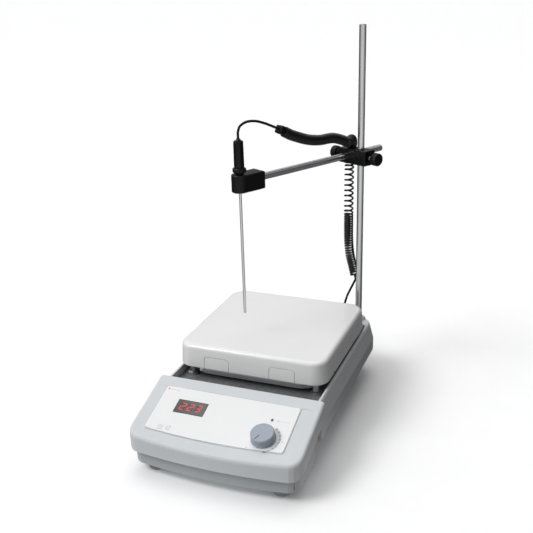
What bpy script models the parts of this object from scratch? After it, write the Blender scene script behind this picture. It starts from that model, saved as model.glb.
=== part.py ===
"""Heating magnetic stirrer with support rod, boss head, arm and corded temperature probe.

Metres, +Z up, front of the instrument towards -Y.  The model is laid out about the centre of
the housing on the bench; frame_origin then moves everything so that the origin lies under the
middle of the whole instrument (cord left out).
"""
import math

import bmesh
import bpy
from mathutils import Matrix, Vector

# ------------------------------------------------------------------ driving dimensions
CLEARANCE = 0.0003

HOUSING_WIDTH = 0.215
HOUSING_DEPTH = 0.360
FRONT_BOW = 0.0085
FRONT_CORNER = 0.018
REAR_CORNER = 0.028
COVER_BOTTOM = 0.0299
PANEL_FRONT_HEIGHT = 0.050
PANEL_ANGLE = math.radians(17.6)
PANEL_DEPTH = 0.103
PANEL_REAR_Y = PANEL_DEPTH - HOUSING_DEPTH / 2
PANEL_EDGE_ROUND = 0.004
WALL = 0.0032
BODY_BOTTOM = 0.0372
RIM_HEIGHT = 0.076
BODY_INSET = 0.0015
RIM_INSET = 0.0085
POCKET_WALL = 0.011
POCKET_HALF_WIDTH = HOUSING_WIDTH / 2 - POCKET_WALL
REAR_DECK_DEPTH = 0.030
POCKET_REAR_Y = HOUSING_DEPTH / 2 - REAR_DECK_DEPTH
DECK_TOP = 0.066
DECK_THICKNESS = 0.002
PAN_INSET = 0.0042
PAN_BOTTOM = 0.012
FRONT_LEG_DEPTH = 0.082
REAR_LEG_INSET = 0.030
REAR_LEG_DEPTH = 0.057
ARCH_FRONT_Y = FRONT_LEG_DEPTH - HOUSING_DEPTH / 2
LEG_END_Y = HOUSING_DEPTH / 2 - REAR_LEG_INSET
ARCH_REAR_Y = LEG_END_Y - REAR_LEG_DEPTH
FOOT_RADIUS = 0.011
FOOT_SIDE_INSET = 0.0285
FOOT_HALF_SPAN = HOUSING_WIDTH / 2 - FOOT_SIDE_INSET
ROD_SIDE_INSET = 0.027
ROD_REAR_INSET = 0.012
ROD_X = HOUSING_WIDTH / 2 - ROD_SIDE_INSET
ROD_Y = HOUSING_DEPTH / 2 - ROD_REAR_INSET

PLATE_WIDTH = 0.197
PLATE_FRONT_GAP = 0.025
PLATE_ROD_GAP = 0.027
PLATE_DEPTH = ROD_Y - PLATE_ROD_GAP - PANEL_REAR_Y - PLATE_FRONT_GAP
PLATE_TOP = 0.112
PLATE_BOTTOM = 0.0825
PLATE_CENTRE_Y = PANEL_REAR_Y + PLATE_FRONT_GAP + PLATE_DEPTH / 2
PLATE_CORNER = 0.020
PLATE_EDGE_ROUND = 0.0055
PLATE_THICKNESS = 0.008
SHIELD_INSET = 0.0085
SHIELD_HALF = min(PLATE_WIDTH, PLATE_DEPTH) / 2 - SHIELD_INSET
POST_INSET = 0.005
HEATER_INSET = 0.018
HEATER_RADIUS = SHIELD_HALF - HEATER_INSET
SHIELD_CORNER = 0.030
SHIELD_TOP = 0.0781
SHIELD_RIM = 0.0715
SHIELD_WALL = 0.001
HEATER_THICKNESS = 0.006
HEATER_INNER_RADIUS = 0.022
POST_RADIUS = 0.0042
POST_FOOT_RADIUS = 0.0070
MOTOR_RADIUS = 0.026
BRACKET_HALF = 0.036
MAGNET_RADIUS = 0.0090
MAGNET_HEIGHT = 0.0040
MAGNET_OFFSET = 0.0195
BOARD_THICKNESS = 0.0016
BOARD_REAR_GAP = 0.032

LABEL_LEFT_INSET = 0.0175
LABEL_RIGHT_INSET = 0.0235
LABEL_LEFT = LABEL_LEFT_INSET - HOUSING_WIDTH / 2
LABEL_RIGHT = HOUSING_WIDTH / 2 - LABEL_RIGHT_INSET
LABEL_LOW = 0.0175
LABEL_HIGH = 0.0860
LABEL_BOW = 0.0045
LABEL_THICKNESS = 0.0006
DISPLAY_X = -0.0458
DISPLAY_S = 0.0572
DISPLAY_WIDTH = 0.0385
DISPLAY_HEIGHT = 0.0202
KNOB_X = 0.0555
KNOB_S = 0.0330
KNOB_RADIUS = 0.0146
KNOB_HEIGHT = 0.0115

ROD_RADIUS = 0.0045
ROD_TOP = 0.482
ARM_HEIGHT = 0.313
ARM_ANGLE = math.radians(62.8)
ARM_OFFSET = -0.0172
ARM_RADIUS = 0.0045
ARM_REAR = 0.0592
BLOCK_LEFT = -0.0318
BLOCK_RIGHT = 0.0157
BLOCK_HALF = 0.010
STUD_RADIUS = 0.0025
SCREW_KNOB_RADIUS = 0.0085
SCREW_KNOB_LENGTH = 0.0115
PROBE_REACH = -0.196
HOLDER_WIDTH = 0.0205
HOLDER_END = -0.1645
HOLDER_LOW = -0.0122
HOLDER_HIGH = 0.0095
SHEATH_RADIUS = 0.00175
SHEATH_TIP = 0.141
HANDLE_RADIUS = 0.0062
HANDLE_LENGTH = 0.0326
CORD_RADIUS = 0.0016
COIL_RADIUS = 0.0070
TIE_Y = -0.1275
TIE_Z = 0.0523
TIE_DROP = math.radians(28)
TIE_HALF_LENGTH = 0.0045
COIL_JOIN = (-0.0205, 0.0010, 0.0188)
COIL_JOIN_RUN = (-0.45, 0.89, 0.02)
SOCKET_X = 0.040
SOCKET_Z = 0.056
PLUG_LENGTH = 0.0270
COIL_END_X = 0.0658

# ------------------------------------------------------------------ scene and materials
for leftover in list(bpy.data.objects):
    bpy.data.objects.remove(leftover, do_unlink=True)

SCENE = bpy.context.scene.collection


def material(name, colour, roughness=0.5, metallic=0.0):
    """One plain Principled material."""
    made = bpy.data.materials.new(name)
    made.use_nodes = True
    shader = made.node_tree.nodes["Principled BSDF"]
    shader.inputs["Base Color"].default_value = (*colour, 1.0)
    shader.inputs["Roughness"].default_value = roughness
    shader.inputs["Metallic"].default_value = metallic
    made.diffuse_color = (*colour, 1.0)
    return made


LIGHT_PLASTIC = material("light_plastic", (0.68, 0.70, 0.72), 0.45)
GREY_PLASTIC = material("grey_plastic", (0.42, 0.45, 0.47), 0.5)
DARK_DECK = material("dark_deck", (0.10, 0.11, 0.12), 0.5)
WHITE_ENAMEL = material("white_enamel", (0.86, 0.86, 0.85), 0.25)
LABEL_WHITE = material("label_white", (0.84, 0.84, 0.84), 0.4)
SMOKED = material("smoked_window", (0.01, 0.01, 0.012), 0.15)
LED_RED = material("led_red", (0.7, 0.03, 0.02), 0.3)
KNOB_BLUE = material("knob_blue_grey", (0.31, 0.35, 0.41), 0.45)
STEEL = material("polished_steel", (0.62, 0.62, 0.63), 0.18, 1.0)
SHEET = material("sheet_steel", (0.55, 0.56, 0.58), 0.35, 1.0)
ALUMINIUM = material("aluminium", (0.70, 0.71, 0.72), 0.3, 1.0)
BRASS = material("brass", (0.72, 0.55, 0.25), 0.3, 1.0)
BLACK_PLASTIC = material("black_plastic", (0.018, 0.018, 0.02), 0.45)
BLACK_METAL = material("black_metal", (0.018, 0.018, 0.02), 0.4, 0.3)
BLACK_RUBBER = material("black_rubber", (0.025, 0.025, 0.027), 0.7)
GREY_RUBBER = material("grey_rubber", (0.30, 0.31, 0.32), 0.8)
CIRCUIT = material("circuit_board", (0.02, 0.16, 0.07), 0.5)
MAGNET = material("magnet", (0.35, 0.35, 0.37), 0.4, 1.0)
WOOL = material("insulation", (0.72, 0.68, 0.58), 0.9)
HEATER = material("heater", (0.25, 0.23, 0.21), 0.5, 0.6)
COPPER = material("copper", (0.60, 0.30, 0.17), 0.35, 1.0)


# ------------------------------------------------------------------ modelling helpers
def frame(name, location, rotation=(0.0, 0.0, 0.0), parent=None):
    """An empty that carries a moving piece or a working plane."""
    empty = bpy.data.objects.new(name, None)
    SCENE.objects.link(empty)
    empty.empty_display_size = 0.02
    empty.parent = parent
    empty.location = location
    empty.rotation_euler = rotation
    return empty


def place(name, mesh_data, skin, parent, location=(0.0, 0.0, 0.0), rotation=(0.0, 0.0, 0.0)):
    """Turn a bmesh into a named object, faces outwards."""
    bmesh.ops.recalc_face_normals(mesh_data, faces=mesh_data.faces[:])
    if mesh_data.calc_volume(signed=True) < 0:
        bmesh.ops.reverse_faces(mesh_data, faces=mesh_data.faces[:])
    mesh = bpy.data.meshes.new(name)
    mesh_data.to_mesh(mesh)
    mesh_data.free()
    obj = bpy.data.objects.new(name, mesh)
    SCENE.objects.link(obj)
    if skin is not None:
        mesh.materials.append(skin)
    obj.parent = parent
    obj.location = location
    obj.rotation_euler = rotation
    return obj


def loft(rings):
    """Closed solid through rings of equal point count, capped at both ends."""
    solid = bmesh.new()
    loops = [[solid.verts.new(point) for point in ring] for ring in rings]
    count = len(loops[0])
    for lower, upper in zip(loops, loops[1:]):
        for i in range(count):
            j = (i + 1) % count
            solid.faces.new((lower[i], lower[j], upper[j], upper[i]))
    solid.faces.new(loops[0])
    solid.faces.new(list(reversed(loops[-1])))
    return solid


def ring(outline, height):
    """Lift a flat outline to a height."""
    return [(x, y, height) for x, y in outline]


def rounded_outline(x0, x1, y0, y1, front_radius, rear_radius, bow=0.0, steps=5, bow_steps=8):
    """Plan outline, counter-clockwise from the front left, front edge optionally bowed out."""
    half = (x1 - x0) / 2
    middle = (x1 + x0) / 2

    def front(x):
        return y0 + bow * ((x - middle) / half) ** 2

    points = []
    for i in range(bow_steps + 1):
        x = x0 + front_radius + (x1 - x0 - 2 * front_radius) * i / bow_steps
        points.append((x, front(x)))
    corners = ((x1 - front_radius, y0, front_radius, -90, 1), (x1 - rear_radius, y1, rear_radius, 0, 0),
               (x0 + rear_radius, y1, rear_radius, 90, 0), (x0 + front_radius, y0, front_radius, 180, 1))
    for cx, edge, radius, start, is_front in corners:
        cy = front(cx) + radius if is_front else edge - radius
        for i in range(1 if start == -90 else 0, steps + (0 if start == 180 else 1)):
            angle = math.radians(start + 90 * i / steps)
            points.append((cx + radius * math.cos(angle), cy + radius * math.sin(angle)))
    return points


def rounded_plate(x0, x1, y0, y1, z0, z1, radius, round_top=0.0, bow=0.0, steps=4):
    """A flat slab with rounded corners and an optional small rounded top edge."""
    bow_steps = 8 if bow else 1
    rings = []
    profile = [(0.0, z0), (0.0, z1)]
    if round_top:
        profile = [(0.0, z0), (0.0, z1 - round_top), (0.3 * round_top, z1 - 0.3 * round_top), (round_top, z1)]
    for inset, z in profile:
        r = max(radius - inset, 0.0002)
        rings.append(ring(rounded_outline(x0 + inset, x1 - inset, y0 + inset, y1 - inset, r, r, bow,
                                          steps, bow_steps), z))
    return loft(rings)


def box(x0, x1, y0, y1, z0, z1, bevel=0.0, segments=2):
    """A box, its edges rounded when asked."""
    solid = bmesh.new()
    bmesh.ops.create_cube(solid, size=1.0)
    size = Vector((x1 - x0, y1 - y0, z1 - z0))
    middle = Vector(((x1 + x0) / 2, (y1 + y0) / 2, (z1 + z0) / 2))
    bmesh.ops.scale(solid, vec=size, verts=solid.verts[:])
    bmesh.ops.translate(solid, vec=middle, verts=solid.verts[:])
    if bevel:
        bmesh.ops.bevel(solid, geom=solid.edges[:], offset=bevel, segments=segments, profile=0.5,
                        affect="EDGES", clamp_overlap=True)
    return solid


def profile_solid(points, x0, x1):
    """Side profile (y, z) drawn out from x0 to x1."""
    return loft([[(x0, y, z) for y, z in points], [(x1, y, z) for y, z in points]])


def turned(profile, segments=24, axis="Z"):
    """Solid of revolution about Z from (radius, height) pairs; a zero radius closes an end."""
    solid = bmesh.new()
    loops = []
    for radius, height in profile:
        loop = []
        for i in range(segments):
            angle = 2 * math.pi * i / segments
            loop.append(solid.verts.new((radius * math.cos(angle), radius * math.sin(angle), height)))
        loops.append(loop)
    for lower, upper in zip(loops, loops[1:]):
        for i in range(segments):
            j = (i + 1) % segments
            solid.faces.new((lower[i], lower[j], upper[j], upper[i]))
    solid.faces.new(loops[0])
    solid.faces.new(list(reversed(loops[-1])))
    if axis == "X":
        solid.transform(Matrix.Rotation(math.pi / 2, 4, "Y"))
    if axis == "Y":
        solid.transform(Matrix.Rotation(-math.pi / 2, 4, "X"))
    return solid


def disc(radius, z0, z1, edge=0.0, segments=24, axis="Z"):
    """A plain or edge-broken cylinder."""
    if edge:
        pairs = [(radius - edge, z0), (radius, z0 + edge), (radius, z1 - edge), (radius - edge, z1)]
    else:
        pairs = [(radius, z0), (radius, z1)]
    return turned(pairs, segments, axis)


def pipe(outer, inner, z0, z1, segments=24):
    """A ring or bush: closed solid with a bore."""
    solid = bmesh.new()
    loops = []
    for radius, height in ((outer, z0), (outer, z1), (inner, z1), (inner, z0)):
        loops.append([solid.verts.new((radius * math.cos(2 * math.pi * i / segments),
                                       radius * math.sin(2 * math.pi * i / segments), height))
                      for i in range(segments)])
    for k in range(4):
        lower, upper = loops[k], loops[(k + 1) % 4]
        for i in range(segments):
            j = (i + 1) % segments
            solid.faces.new((lower[i], lower[j], upper[j], upper[i]))
    return solid


def carve(target, tool, operation="DIFFERENCE"):
    """Boolean against a hidden tool object."""
    tool.hide_render = True
    tool.hide_viewport = True
    tool.display_type = "WIRE"
    step = target.modifiers.new(tool.name, "BOOLEAN")
    step.operation = operation
    step.solver = "EXACT"
    step.object = tool
    return target


def tool(name, mesh_data, parent, location=(0.0, 0.0, 0.0), rotation=(0.0, 0.0, 0.0)):
    """A cutter."""
    return place(name, mesh_data, None, parent, location, rotation)


def smooth(obj, angle=35.0):
    """Smooth shading up to an edge angle."""
    for polygon in obj.data.polygons:
        polygon.use_smooth = True
    obj.data.set_sharp_from_angle(angle=math.radians(angle))
    return obj


def catmull(points, spacing):
    """Evenly spaced points along a smooth curve through the given ones."""
    pts = [Vector(p) for p in points]
    pts = [2 * pts[0] - pts[1]] + pts + [2 * pts[-1] - pts[-2]]
    fine = []
    for k in range(1, len(pts) - 2):
        p0, p1, p2, p3 = pts[k - 1:k + 3]
        for i in range(24):
            t = i / 24
            fine.append(0.5 * (2 * p1 + (p2 - p0) * t + (2 * p0 - 5 * p1 + 4 * p2 - p3) * t * t
                               + (3 * p1 - p0 - 3 * p2 + p3) * t ** 3))
    fine.append(pts[-2])
    lengths = [0.0]
    for first, second in zip(fine, fine[1:]):
        lengths.append(lengths[-1] + (second - first).length)
    count = max(4, round(lengths[-1] / spacing))
    result = []
    k = 0
    for i in range(count + 1):
        wanted = lengths[-1] * i / count
        while k < len(lengths) - 2 and lengths[k + 1] < wanted:
            k += 1
        share = (wanted - lengths[k]) / (lengths[k + 1] - lengths[k])
        result.append(fine[k].lerp(fine[k + 1], share))
    return result


def cord(name, points, radius, spacing, skin, parent, resolution=2):
    """A round cord along a smooth line, ends closed; its first and last stretches are straight."""
    path = [Vector(points[0]), *catmull(points[1:-1], spacing), Vector(points[-1])]
    data = bpy.data.curves.new(name, "CURVE")
    data.dimensions = "3D"
    data.bevel_depth = radius
    data.bevel_resolution = resolution
    data.use_fill_caps = True
    line = data.splines.new("POLY")
    line.points.add(len(path) - 1)
    for spot, point in zip(line.points, path):
        spot.co = (*point, 1.0)
    line.use_smooth = True
    data.materials.append(skin)
    obj = bpy.data.objects.new(name, data)
    SCENE.objects.link(obj)
    obj.parent = parent
    return obj


# ------------------------------------------------------------------ frames
origin = frame("frame_origin", (0.0, 0.0, 0.0))
half_width = HOUSING_WIDTH / 2
front_y = -HOUSING_DEPTH / 2
rear_y = HOUSING_DEPTH / 2
slope = math.tan(PANEL_ANGLE)
panel_base_y = front_y + 0.004
panel = frame("panel_plane", (0.0, panel_base_y, PANEL_FRONT_HEIGHT), (PANEL_ANGLE, 0.0, 0.0), origin)


# ------------------------------------------------------------------ upper cover
def head_solid(inset, top_drop, bottom, rear, edge_round):
    """The control head: bowed front, sloped top."""
    outline = rounded_outline(-half_width + inset, half_width - inset, front_y + inset, rear,
                              FRONT_CORNER - inset, 0.004, FRONT_BOW)
    solid = loft([ring(outline, bottom), ring(outline, RIM_HEIGHT + 0.03)])
    bmesh.ops.recalc_face_normals(solid, faces=solid.faces[:])
    everything = solid.verts[:] + solid.edges[:] + solid.faces[:]
    cut = bmesh.ops.bisect_plane(solid, geom=everything, dist=1e-7,
                                 plane_co=(0.0, panel_base_y, PANEL_FRONT_HEIGHT - top_drop),
                                 plane_no=(0.0, -math.sin(PANEL_ANGLE), math.cos(PANEL_ANGLE)),
                                 clear_outer=True)
    rim = [item for item in cut["geom_cut"] if isinstance(item, bmesh.types.BMEdge)]
    bmesh.ops.contextual_create(solid, geom=rim)
    if edge_round:
        bmesh.ops.bevel(solid, geom=rim, offset=edge_round, segments=3, profile=0.5, affect="EDGES",
                        clamp_overlap=True)
    return solid


upper_cover = place("upper_cover", head_solid(0.0, 0.0, COVER_BOTTOM, PANEL_REAR_Y, PANEL_EDGE_ROUND),
                    LIGHT_PLASTIC, origin)

body_front_y = ARCH_FRONT_Y + 0.003
body_levels = ((BODY_INSET, BODY_BOTTOM - 0.003, 0.0), (BODY_INSET, BODY_BOTTOM + 0.017, 0.0),
               (RIM_INSET - 0.0015, RIM_HEIGHT - 0.002, 0.0005), (RIM_INSET, RIM_HEIGHT, 0.002))
body_rings = []
for inset, height, rear_inset in body_levels:
    outline = rounded_outline(-half_width + inset, half_width - inset, body_front_y, rear_y - rear_inset,
                              0.002, REAR_CORNER - rear_inset, 0.0, 6, 1)
    body_rings.append(ring(outline, height))
carve(upper_cover, tool("rear_body_form", loft(body_rings), origin), "UNION")
carve(upper_cover, tool("pocket_cut", rounded_plate(-POCKET_HALF_WIDTH, POCKET_HALF_WIDTH,
                                                    PANEL_REAR_Y - 0.0004, POCKET_REAR_Y,
                                                    0.020, 0.120, 0.006), origin))
carve(upper_cover, tool("head_cavity", head_solid(WALL, WALL, 0.010, PANEL_REAR_Y - WALL, 0.0), origin))
carve(upper_cover, tool("wiring_gap", box(-0.092, 0.092, PANEL_REAR_Y - 0.012, PANEL_REAR_Y + 0.006,
                                          0.018, DECK_TOP - 0.006), origin))
carve(upper_cover, tool("rear_cavity", rounded_plate(-POCKET_HALF_WIDTH + 0.004, POCKET_HALF_WIDTH - 0.004,
                                                     POCKET_REAR_Y - 0.060, rear_y - WALL,
                                                     0.020, RIM_HEIGHT - WALL, REAR_CORNER - 0.002,
                                                     steps=6), origin))
wedge_front_y = front_y + 0.010
wedge_rear_y = ARCH_FRONT_Y + 0.004
wedge_rise = (wedge_rear_y - wedge_front_y) * slope
carve(upper_cover, tool("underside_cut", profile_solid(
    [(wedge_front_y, 0.010), (rear_y + 0.020, 0.010), (rear_y + 0.020, BODY_BOTTOM),
     (wedge_rear_y, BODY_BOTTOM), (wedge_rear_y, COVER_BOTTOM + wedge_rise),
     (wedge_front_y, COVER_BOTTOM)], -0.130, 0.130), origin))

# rear openings: mains inlet, power rocker, probe socket; rod socket in the rear deck
INLET_X = -0.058
ROCKER_X = -0.020
REAR_PORT_Z = 0.056
carve(upper_cover, tool("inlet_cut", box(INLET_X - 0.0140, INLET_X + 0.0140, rear_y - 0.010,
                                         rear_y + 0.010, REAR_PORT_Z - 0.0102, REAR_PORT_Z + 0.0102),
                        origin))
carve(upper_cover, tool("rocker_cut", box(ROCKER_X - 0.0068, ROCKER_X + 0.0068, rear_y - 0.010,
                                          rear_y + 0.010, REAR_PORT_Z - 0.0099, REAR_PORT_Z + 0.0099),
                        origin))
carve(upper_cover, tool("socket_cut", disc(0.0067, -0.010, 0.010, axis="Y"), origin,
                        (SOCKET_X, rear_y, SOCKET_Z)))
carve(upper_cover, tool("rod_socket_cut", disc(0.0083, RIM_HEIGHT - 0.0205, RIM_HEIGHT + 0.010), origin,
                        (ROD_X, ROD_Y, 0.0)))
carve(upper_cover, tool("window_cut", box(DISPLAY_X - 0.0170, DISPLAY_X + 0.0170, DISPLAY_S - 0.0080,
                                          DISPLAY_S + 0.0080, -0.010, 0.010), panel))
carve(upper_cover, tool("bush_cut", disc(0.0040, -0.010, 0.010, segments=16), panel,
                        (KNOB_X, KNOB_S, 0.0)))
smooth(upper_cover, 25)

# ------------------------------------------------------------------ base pan
pan_half = half_width - PAN_INSET
pan_top = COVER_BOTTOM - CLEARANCE
pan_back_y = wedge_rear_y - 0.0035
pan_slope_top = pan_top + (pan_back_y - wedge_front_y) * slope - 0.0004
base_pan = place("base_pan", profile_solid(
    [(front_y - 0.005, PAN_BOTTOM), (ARCH_FRONT_Y - 0.006, PAN_BOTTOM), (pan_back_y, BODY_BOTTOM - 0.004),
     (pan_back_y, pan_slope_top), (wedge_front_y, pan_top - 0.0002), (front_y - 0.005, pan_top - 0.0002)],
    -half_width, half_width), GREY_PLASTIC, origin)
carve(base_pan, tool("pan_outline", loft([
    ring(rounded_outline(-pan_half + 0.0012, pan_half - 0.0012, front_y + PAN_INSET + 0.0012, 0.0,
                         FRONT_CORNER - 0.003, 0.002, FRONT_BOW), 0.0),
    ring(rounded_outline(-pan_half, pan_half, front_y + PAN_INSET, 0.0,
                         FRONT_CORNER - 0.002, 0.002, FRONT_BOW), 0.080)]), origin), "INTERSECT")
pan_floor = BODY_BOTTOM - 0.0040
pan_floor_outline = rounded_outline(-pan_half + 0.0012, pan_half - 0.0012, pan_back_y - 0.006,
                                    rear_y - 0.004, 0.003, REAR_CORNER - 0.004, 0.0, 6, 1)
carve(base_pan, tool("pan_floor_form", loft([ring(pan_floor_outline, pan_floor),
                                             ring(pan_floor_outline, BODY_BOTTOM - CLEARANCE)]), origin),
      "UNION")
carve(base_pan, tool("pan_leg_form", loft([
    ring(rounded_outline(-pan_half + 0.009, pan_half - 0.009, ARCH_REAR_Y + 0.004, LEG_END_Y - 0.004,
                         0.008, 0.008, 0.0, 4, 1), PAN_BOTTOM),
    ring(rounded_outline(-pan_half + 0.004, pan_half - 0.004, ARCH_REAR_Y, LEG_END_Y,
                         0.008, 0.008, 0.0, 4, 1), pan_floor + 0.001)]), origin), "UNION")
carve(base_pan, tool("pan_head_hollow", box(-pan_half + 0.005, pan_half - 0.005, front_y + 0.016,
                                            ARCH_FRONT_Y - 0.009, PAN_BOTTOM + 0.003, 0.080), origin))
carve(base_pan, tool("pan_rise_hollow", box(-pan_half + 0.005, pan_half - 0.005, front_y + 0.060,
                                            pan_back_y + 0.010, BODY_BOTTOM + 0.004, 0.080), origin))
carve(base_pan, tool("pan_leg_hollow", box(-pan_half + 0.014, pan_half - 0.014, ARCH_REAR_Y + 0.008,
                                           LEG_END_Y - 0.008, PAN_BOTTOM + 0.003, 0.080), origin))
smooth(base_pan, 25)

# ------------------------------------------------------------------ feet
for label, x, y in (("front_left", -FOOT_HALF_SPAN, front_y + 0.028),
                    ("front_right", FOOT_HALF_SPAN, front_y + 0.028),
                    ("rear_left", -FOOT_HALF_SPAN, (ARCH_REAR_Y + LEG_END_Y) / 2),
                    ("rear_right", FOOT_HALF_SPAN, (ARCH_REAR_Y + LEG_END_Y) / 2)):
    smooth(place("foot_" + label, turned([(FOOT_RADIUS - 0.002, 0.0), (FOOT_RADIUS - 0.0008, 0.0012),
                                          (FOOT_RADIUS, PAN_BOTTOM - CLEARANCE)], 20),
                 GREY_RUBBER, origin, (x, y, 0.0)))

# ------------------------------------------------------------------ deck and hot plate stack
deck_tray = place("deck_tray", rounded_plate(-POCKET_HALF_WIDTH + CLEARANCE, POCKET_HALF_WIDTH - CLEARANCE,
                                             PANEL_REAR_Y - 0.0004 + CLEARANCE,
                                             POCKET_REAR_Y - CLEARANCE,
                                             DECK_TOP - DECK_THICKNESS, DECK_TOP, 0.0057),
                  DARK_DECK, origin)
carve(deck_tray, tool("shaft_hole_cut", disc(0.007, 0.050, 0.080, segments=16), origin,
                      (0.0, PLATE_CENTRE_Y, 0.0)))


def plate_ring(inset, height):
    """One level of the hot plate's outline."""
    w = PLATE_WIDTH / 2 - inset
    d = PLATE_DEPTH / 2 - inset
    r = max(PLATE_CORNER - 0.6 * inset, 0.003)
    return ring(rounded_outline(-w, w, PLATE_CENTRE_Y - d, PLATE_CENTRE_Y + d, r, r, 0.0, 6, 1), height)


e = PLATE_EDGE_ROUND
hot_plate = place("hot_plate", loft([
    plate_ring(0.0050, PLATE_TOP - PLATE_THICKNESS),
    plate_ring(0.0036, PLATE_BOTTOM),
    plate_ring(0.0006, PLATE_BOTTOM),
    plate_ring(0.0, PLATE_BOTTOM + 0.0008),
    plate_ring(0.0014, PLATE_TOP - e),
    plate_ring(0.0014 + 0.13 * e, PLATE_TOP - 0.5 * e),
    plate_ring(0.0014 + 0.5 * e, PLATE_TOP - 0.13 * e),
    plate_ring(0.0014 + e, PLATE_TOP)]), WHITE_ENAMEL, origin)
smooth(hot_plate, 30)

element_top = PLATE_TOP - PLATE_THICKNESS - CLEARANCE
element_low = element_top - HEATER_THICKNESS
smooth(place("heating_element", pipe(HEATER_RADIUS, HEATER_INNER_RADIUS, element_low, element_top, 32),
             HEATER, origin, (0.0, PLATE_CENTRE_Y, 0.0)))
wool_top = element_low - CLEARANCE
place("insulation_pad", disc(HEATER_RADIUS, SHIELD_TOP + CLEARANCE, wool_top, segments=32), WOOL, origin,
      (0.0, PLATE_CENTRE_Y, 0.0))
shield = place("heat_shield", rounded_plate(-SHIELD_HALF, SHIELD_HALF, -SHIELD_HALF, SHIELD_HALF,
                                            SHIELD_RIM, SHIELD_TOP, SHIELD_CORNER, 0.0015, steps=6), SHEET,
               origin, (0.0, PLATE_CENTRE_Y, 0.0))
inner_half = SHIELD_HALF - SHIELD_WALL
carve(shield, tool("shield_hollow", rounded_plate(-inner_half, inner_half, -inner_half, inner_half,
                                                  SHIELD_RIM - 0.010, SHIELD_TOP - SHIELD_WALL,
                                                  SHIELD_CORNER - SHIELD_WALL, steps=6), origin,
                   (0.0, PLATE_CENTRE_Y, 0.0)))
post_reach = SHIELD_HALF - POST_INSET
for label, sx, sy in (("front_left", -1, -1), ("front_right", 1, -1), ("rear_left", -1, 1),
                      ("rear_right", 1, 1)):
    smooth(place("plate_post_" + label,
                 turned([(POST_FOOT_RADIUS, DECK_TOP + CLEARANCE), (POST_FOOT_RADIUS, DECK_TOP + 0.003),
                         (POST_RADIUS, DECK_TOP + 0.004),
                         (POST_RADIUS, PLATE_TOP - PLATE_THICKNESS - CLEARANCE)], 16),
                 SHEET, origin, (sx * post_reach, PLATE_CENTRE_Y + sy * post_reach, 0.0)))

# ------------------------------------------------------------------ stirring drive
bracket_z = BODY_BOTTOM + 0.0008
place("motor_bracket", rounded_plate(-BRACKET_HALF, BRACKET_HALF, -BRACKET_HALF, BRACKET_HALF,
                                     bracket_z, bracket_z + 0.002, 0.006), SHEET,
      origin, (0.0, PLATE_CENTRE_Y, 0.0))
motor_low = bracket_z + 0.002 + CLEARANCE
motor_high = DECK_TOP - DECK_THICKNESS - 0.004
motor = place("motor", disc(MOTOR_RADIUS, motor_low, motor_high, 0.0015, 28), ALUMINIUM, origin,
              (0.0, PLATE_CENTRE_Y, 0.0))
carve(motor, tool("motor_bore_cut", disc(0.0032, motor_low + 0.004, motor_high + 0.010, segments=16), origin,
                  (0.0, PLATE_CENTRE_Y, 0.0)))
smooth(motor)
rotor_axis = frame("rotor_axis", (0.0, PLATE_CENTRE_Y, 0.0), parent=origin)
carrier_low = DECK_TOP + 0.0012
carrier_high = carrier_low + 0.0032
smooth(place("magnet_carrier", turned([(0.0025, motor_low + 0.005), (0.0025, carrier_low - 0.001),
                                       (0.0060, carrier_low - 0.001), (0.0300, carrier_low),
                                       (0.0300, carrier_high)], 28), ALUMINIUM, rotor_axis))
for label, side in (("north", 1), ("south", -1)):
    smooth(place("drive_magnet_" + label,
                 disc(MAGNET_RADIUS, carrier_high + CLEARANCE, carrier_high + MAGNET_HEIGHT, 0.0004, 20),
                 MAGNET, rotor_axis, (side * MAGNET_OFFSET, 0.0, 0.0)))

# ------------------------------------------------------------------ electronics
board_top = bracket_z + 0.0036
place("power_board", box(-0.080, 0.020, rear_y - 0.080, rear_y - BOARD_REAR_GAP, board_top - BOARD_THICKNESS,
                         board_top), CIRCUIT, origin)
place("transformer", box(-0.070, -0.040, rear_y - 0.075, rear_y - 0.045, board_top + CLEARANCE,
                         board_top + 0.0194, 0.002, 1), COPPER, origin)
place("control_board", box(-0.082, 0.078, 0.0130, 0.0820, -0.0175, -0.0159), CIRCUIT, panel)

# ------------------------------------------------------------------ control panel
label_plate = place("control_label", rounded_plate(LABEL_LEFT, LABEL_RIGHT, LABEL_LOW - LABEL_BOW,
                                                   LABEL_HIGH, CLEARANCE, CLEARANCE + LABEL_THICKNESS, 0.004,
                                                   bow=LABEL_BOW), LABEL_WHITE, panel)
carve(label_plate, tool("label_window_cut", box(DISPLAY_X - DISPLAY_WIDTH / 2 - CLEARANCE,
                                                DISPLAY_X + DISPLAY_WIDTH / 2 + CLEARANCE,
                                                DISPLAY_S - DISPLAY_HEIGHT / 2 - CLEARANCE,
                                                DISPLAY_S + DISPLAY_HEIGHT / 2 + CLEARANCE,
                                                -0.005, 0.005), panel))
carve(label_plate, tool("label_bush_cut", disc(0.0045, -0.005, 0.005, segments=16), panel,
                        (KNOB_X, KNOB_S, 0.0)))
place("display_window", box(DISPLAY_X - DISPLAY_WIDTH / 2, DISPLAY_X + DISPLAY_WIDTH / 2,
                            DISPLAY_S - DISPLAY_HEIGHT / 2, DISPLAY_S + DISPLAY_HEIGHT / 2,
                            CLEARANCE, CLEARANCE + 0.0009), SMOKED, panel)
place("display_module", box(DISPLAY_X - 0.0160, DISPLAY_X + 0.0160, DISPLAY_S - 0.0070, DISPLAY_S + 0.0070,
                            -0.0156, -0.0005, 0.0004, 1), LED_RED, panel)
LABEL_TOP = CLEARANCE + LABEL_THICKNESS
LED_BASE = LABEL_TOP + CLEARANCE
status = turned([(0.0020, LED_BASE), (0.0020, LED_BASE + 0.0004), (0.0012, LED_BASE + 0.0008)], 16)
bmesh.ops.scale(status, vec=(0.75, 1.0, 1.0), verts=status.verts[:])
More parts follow.
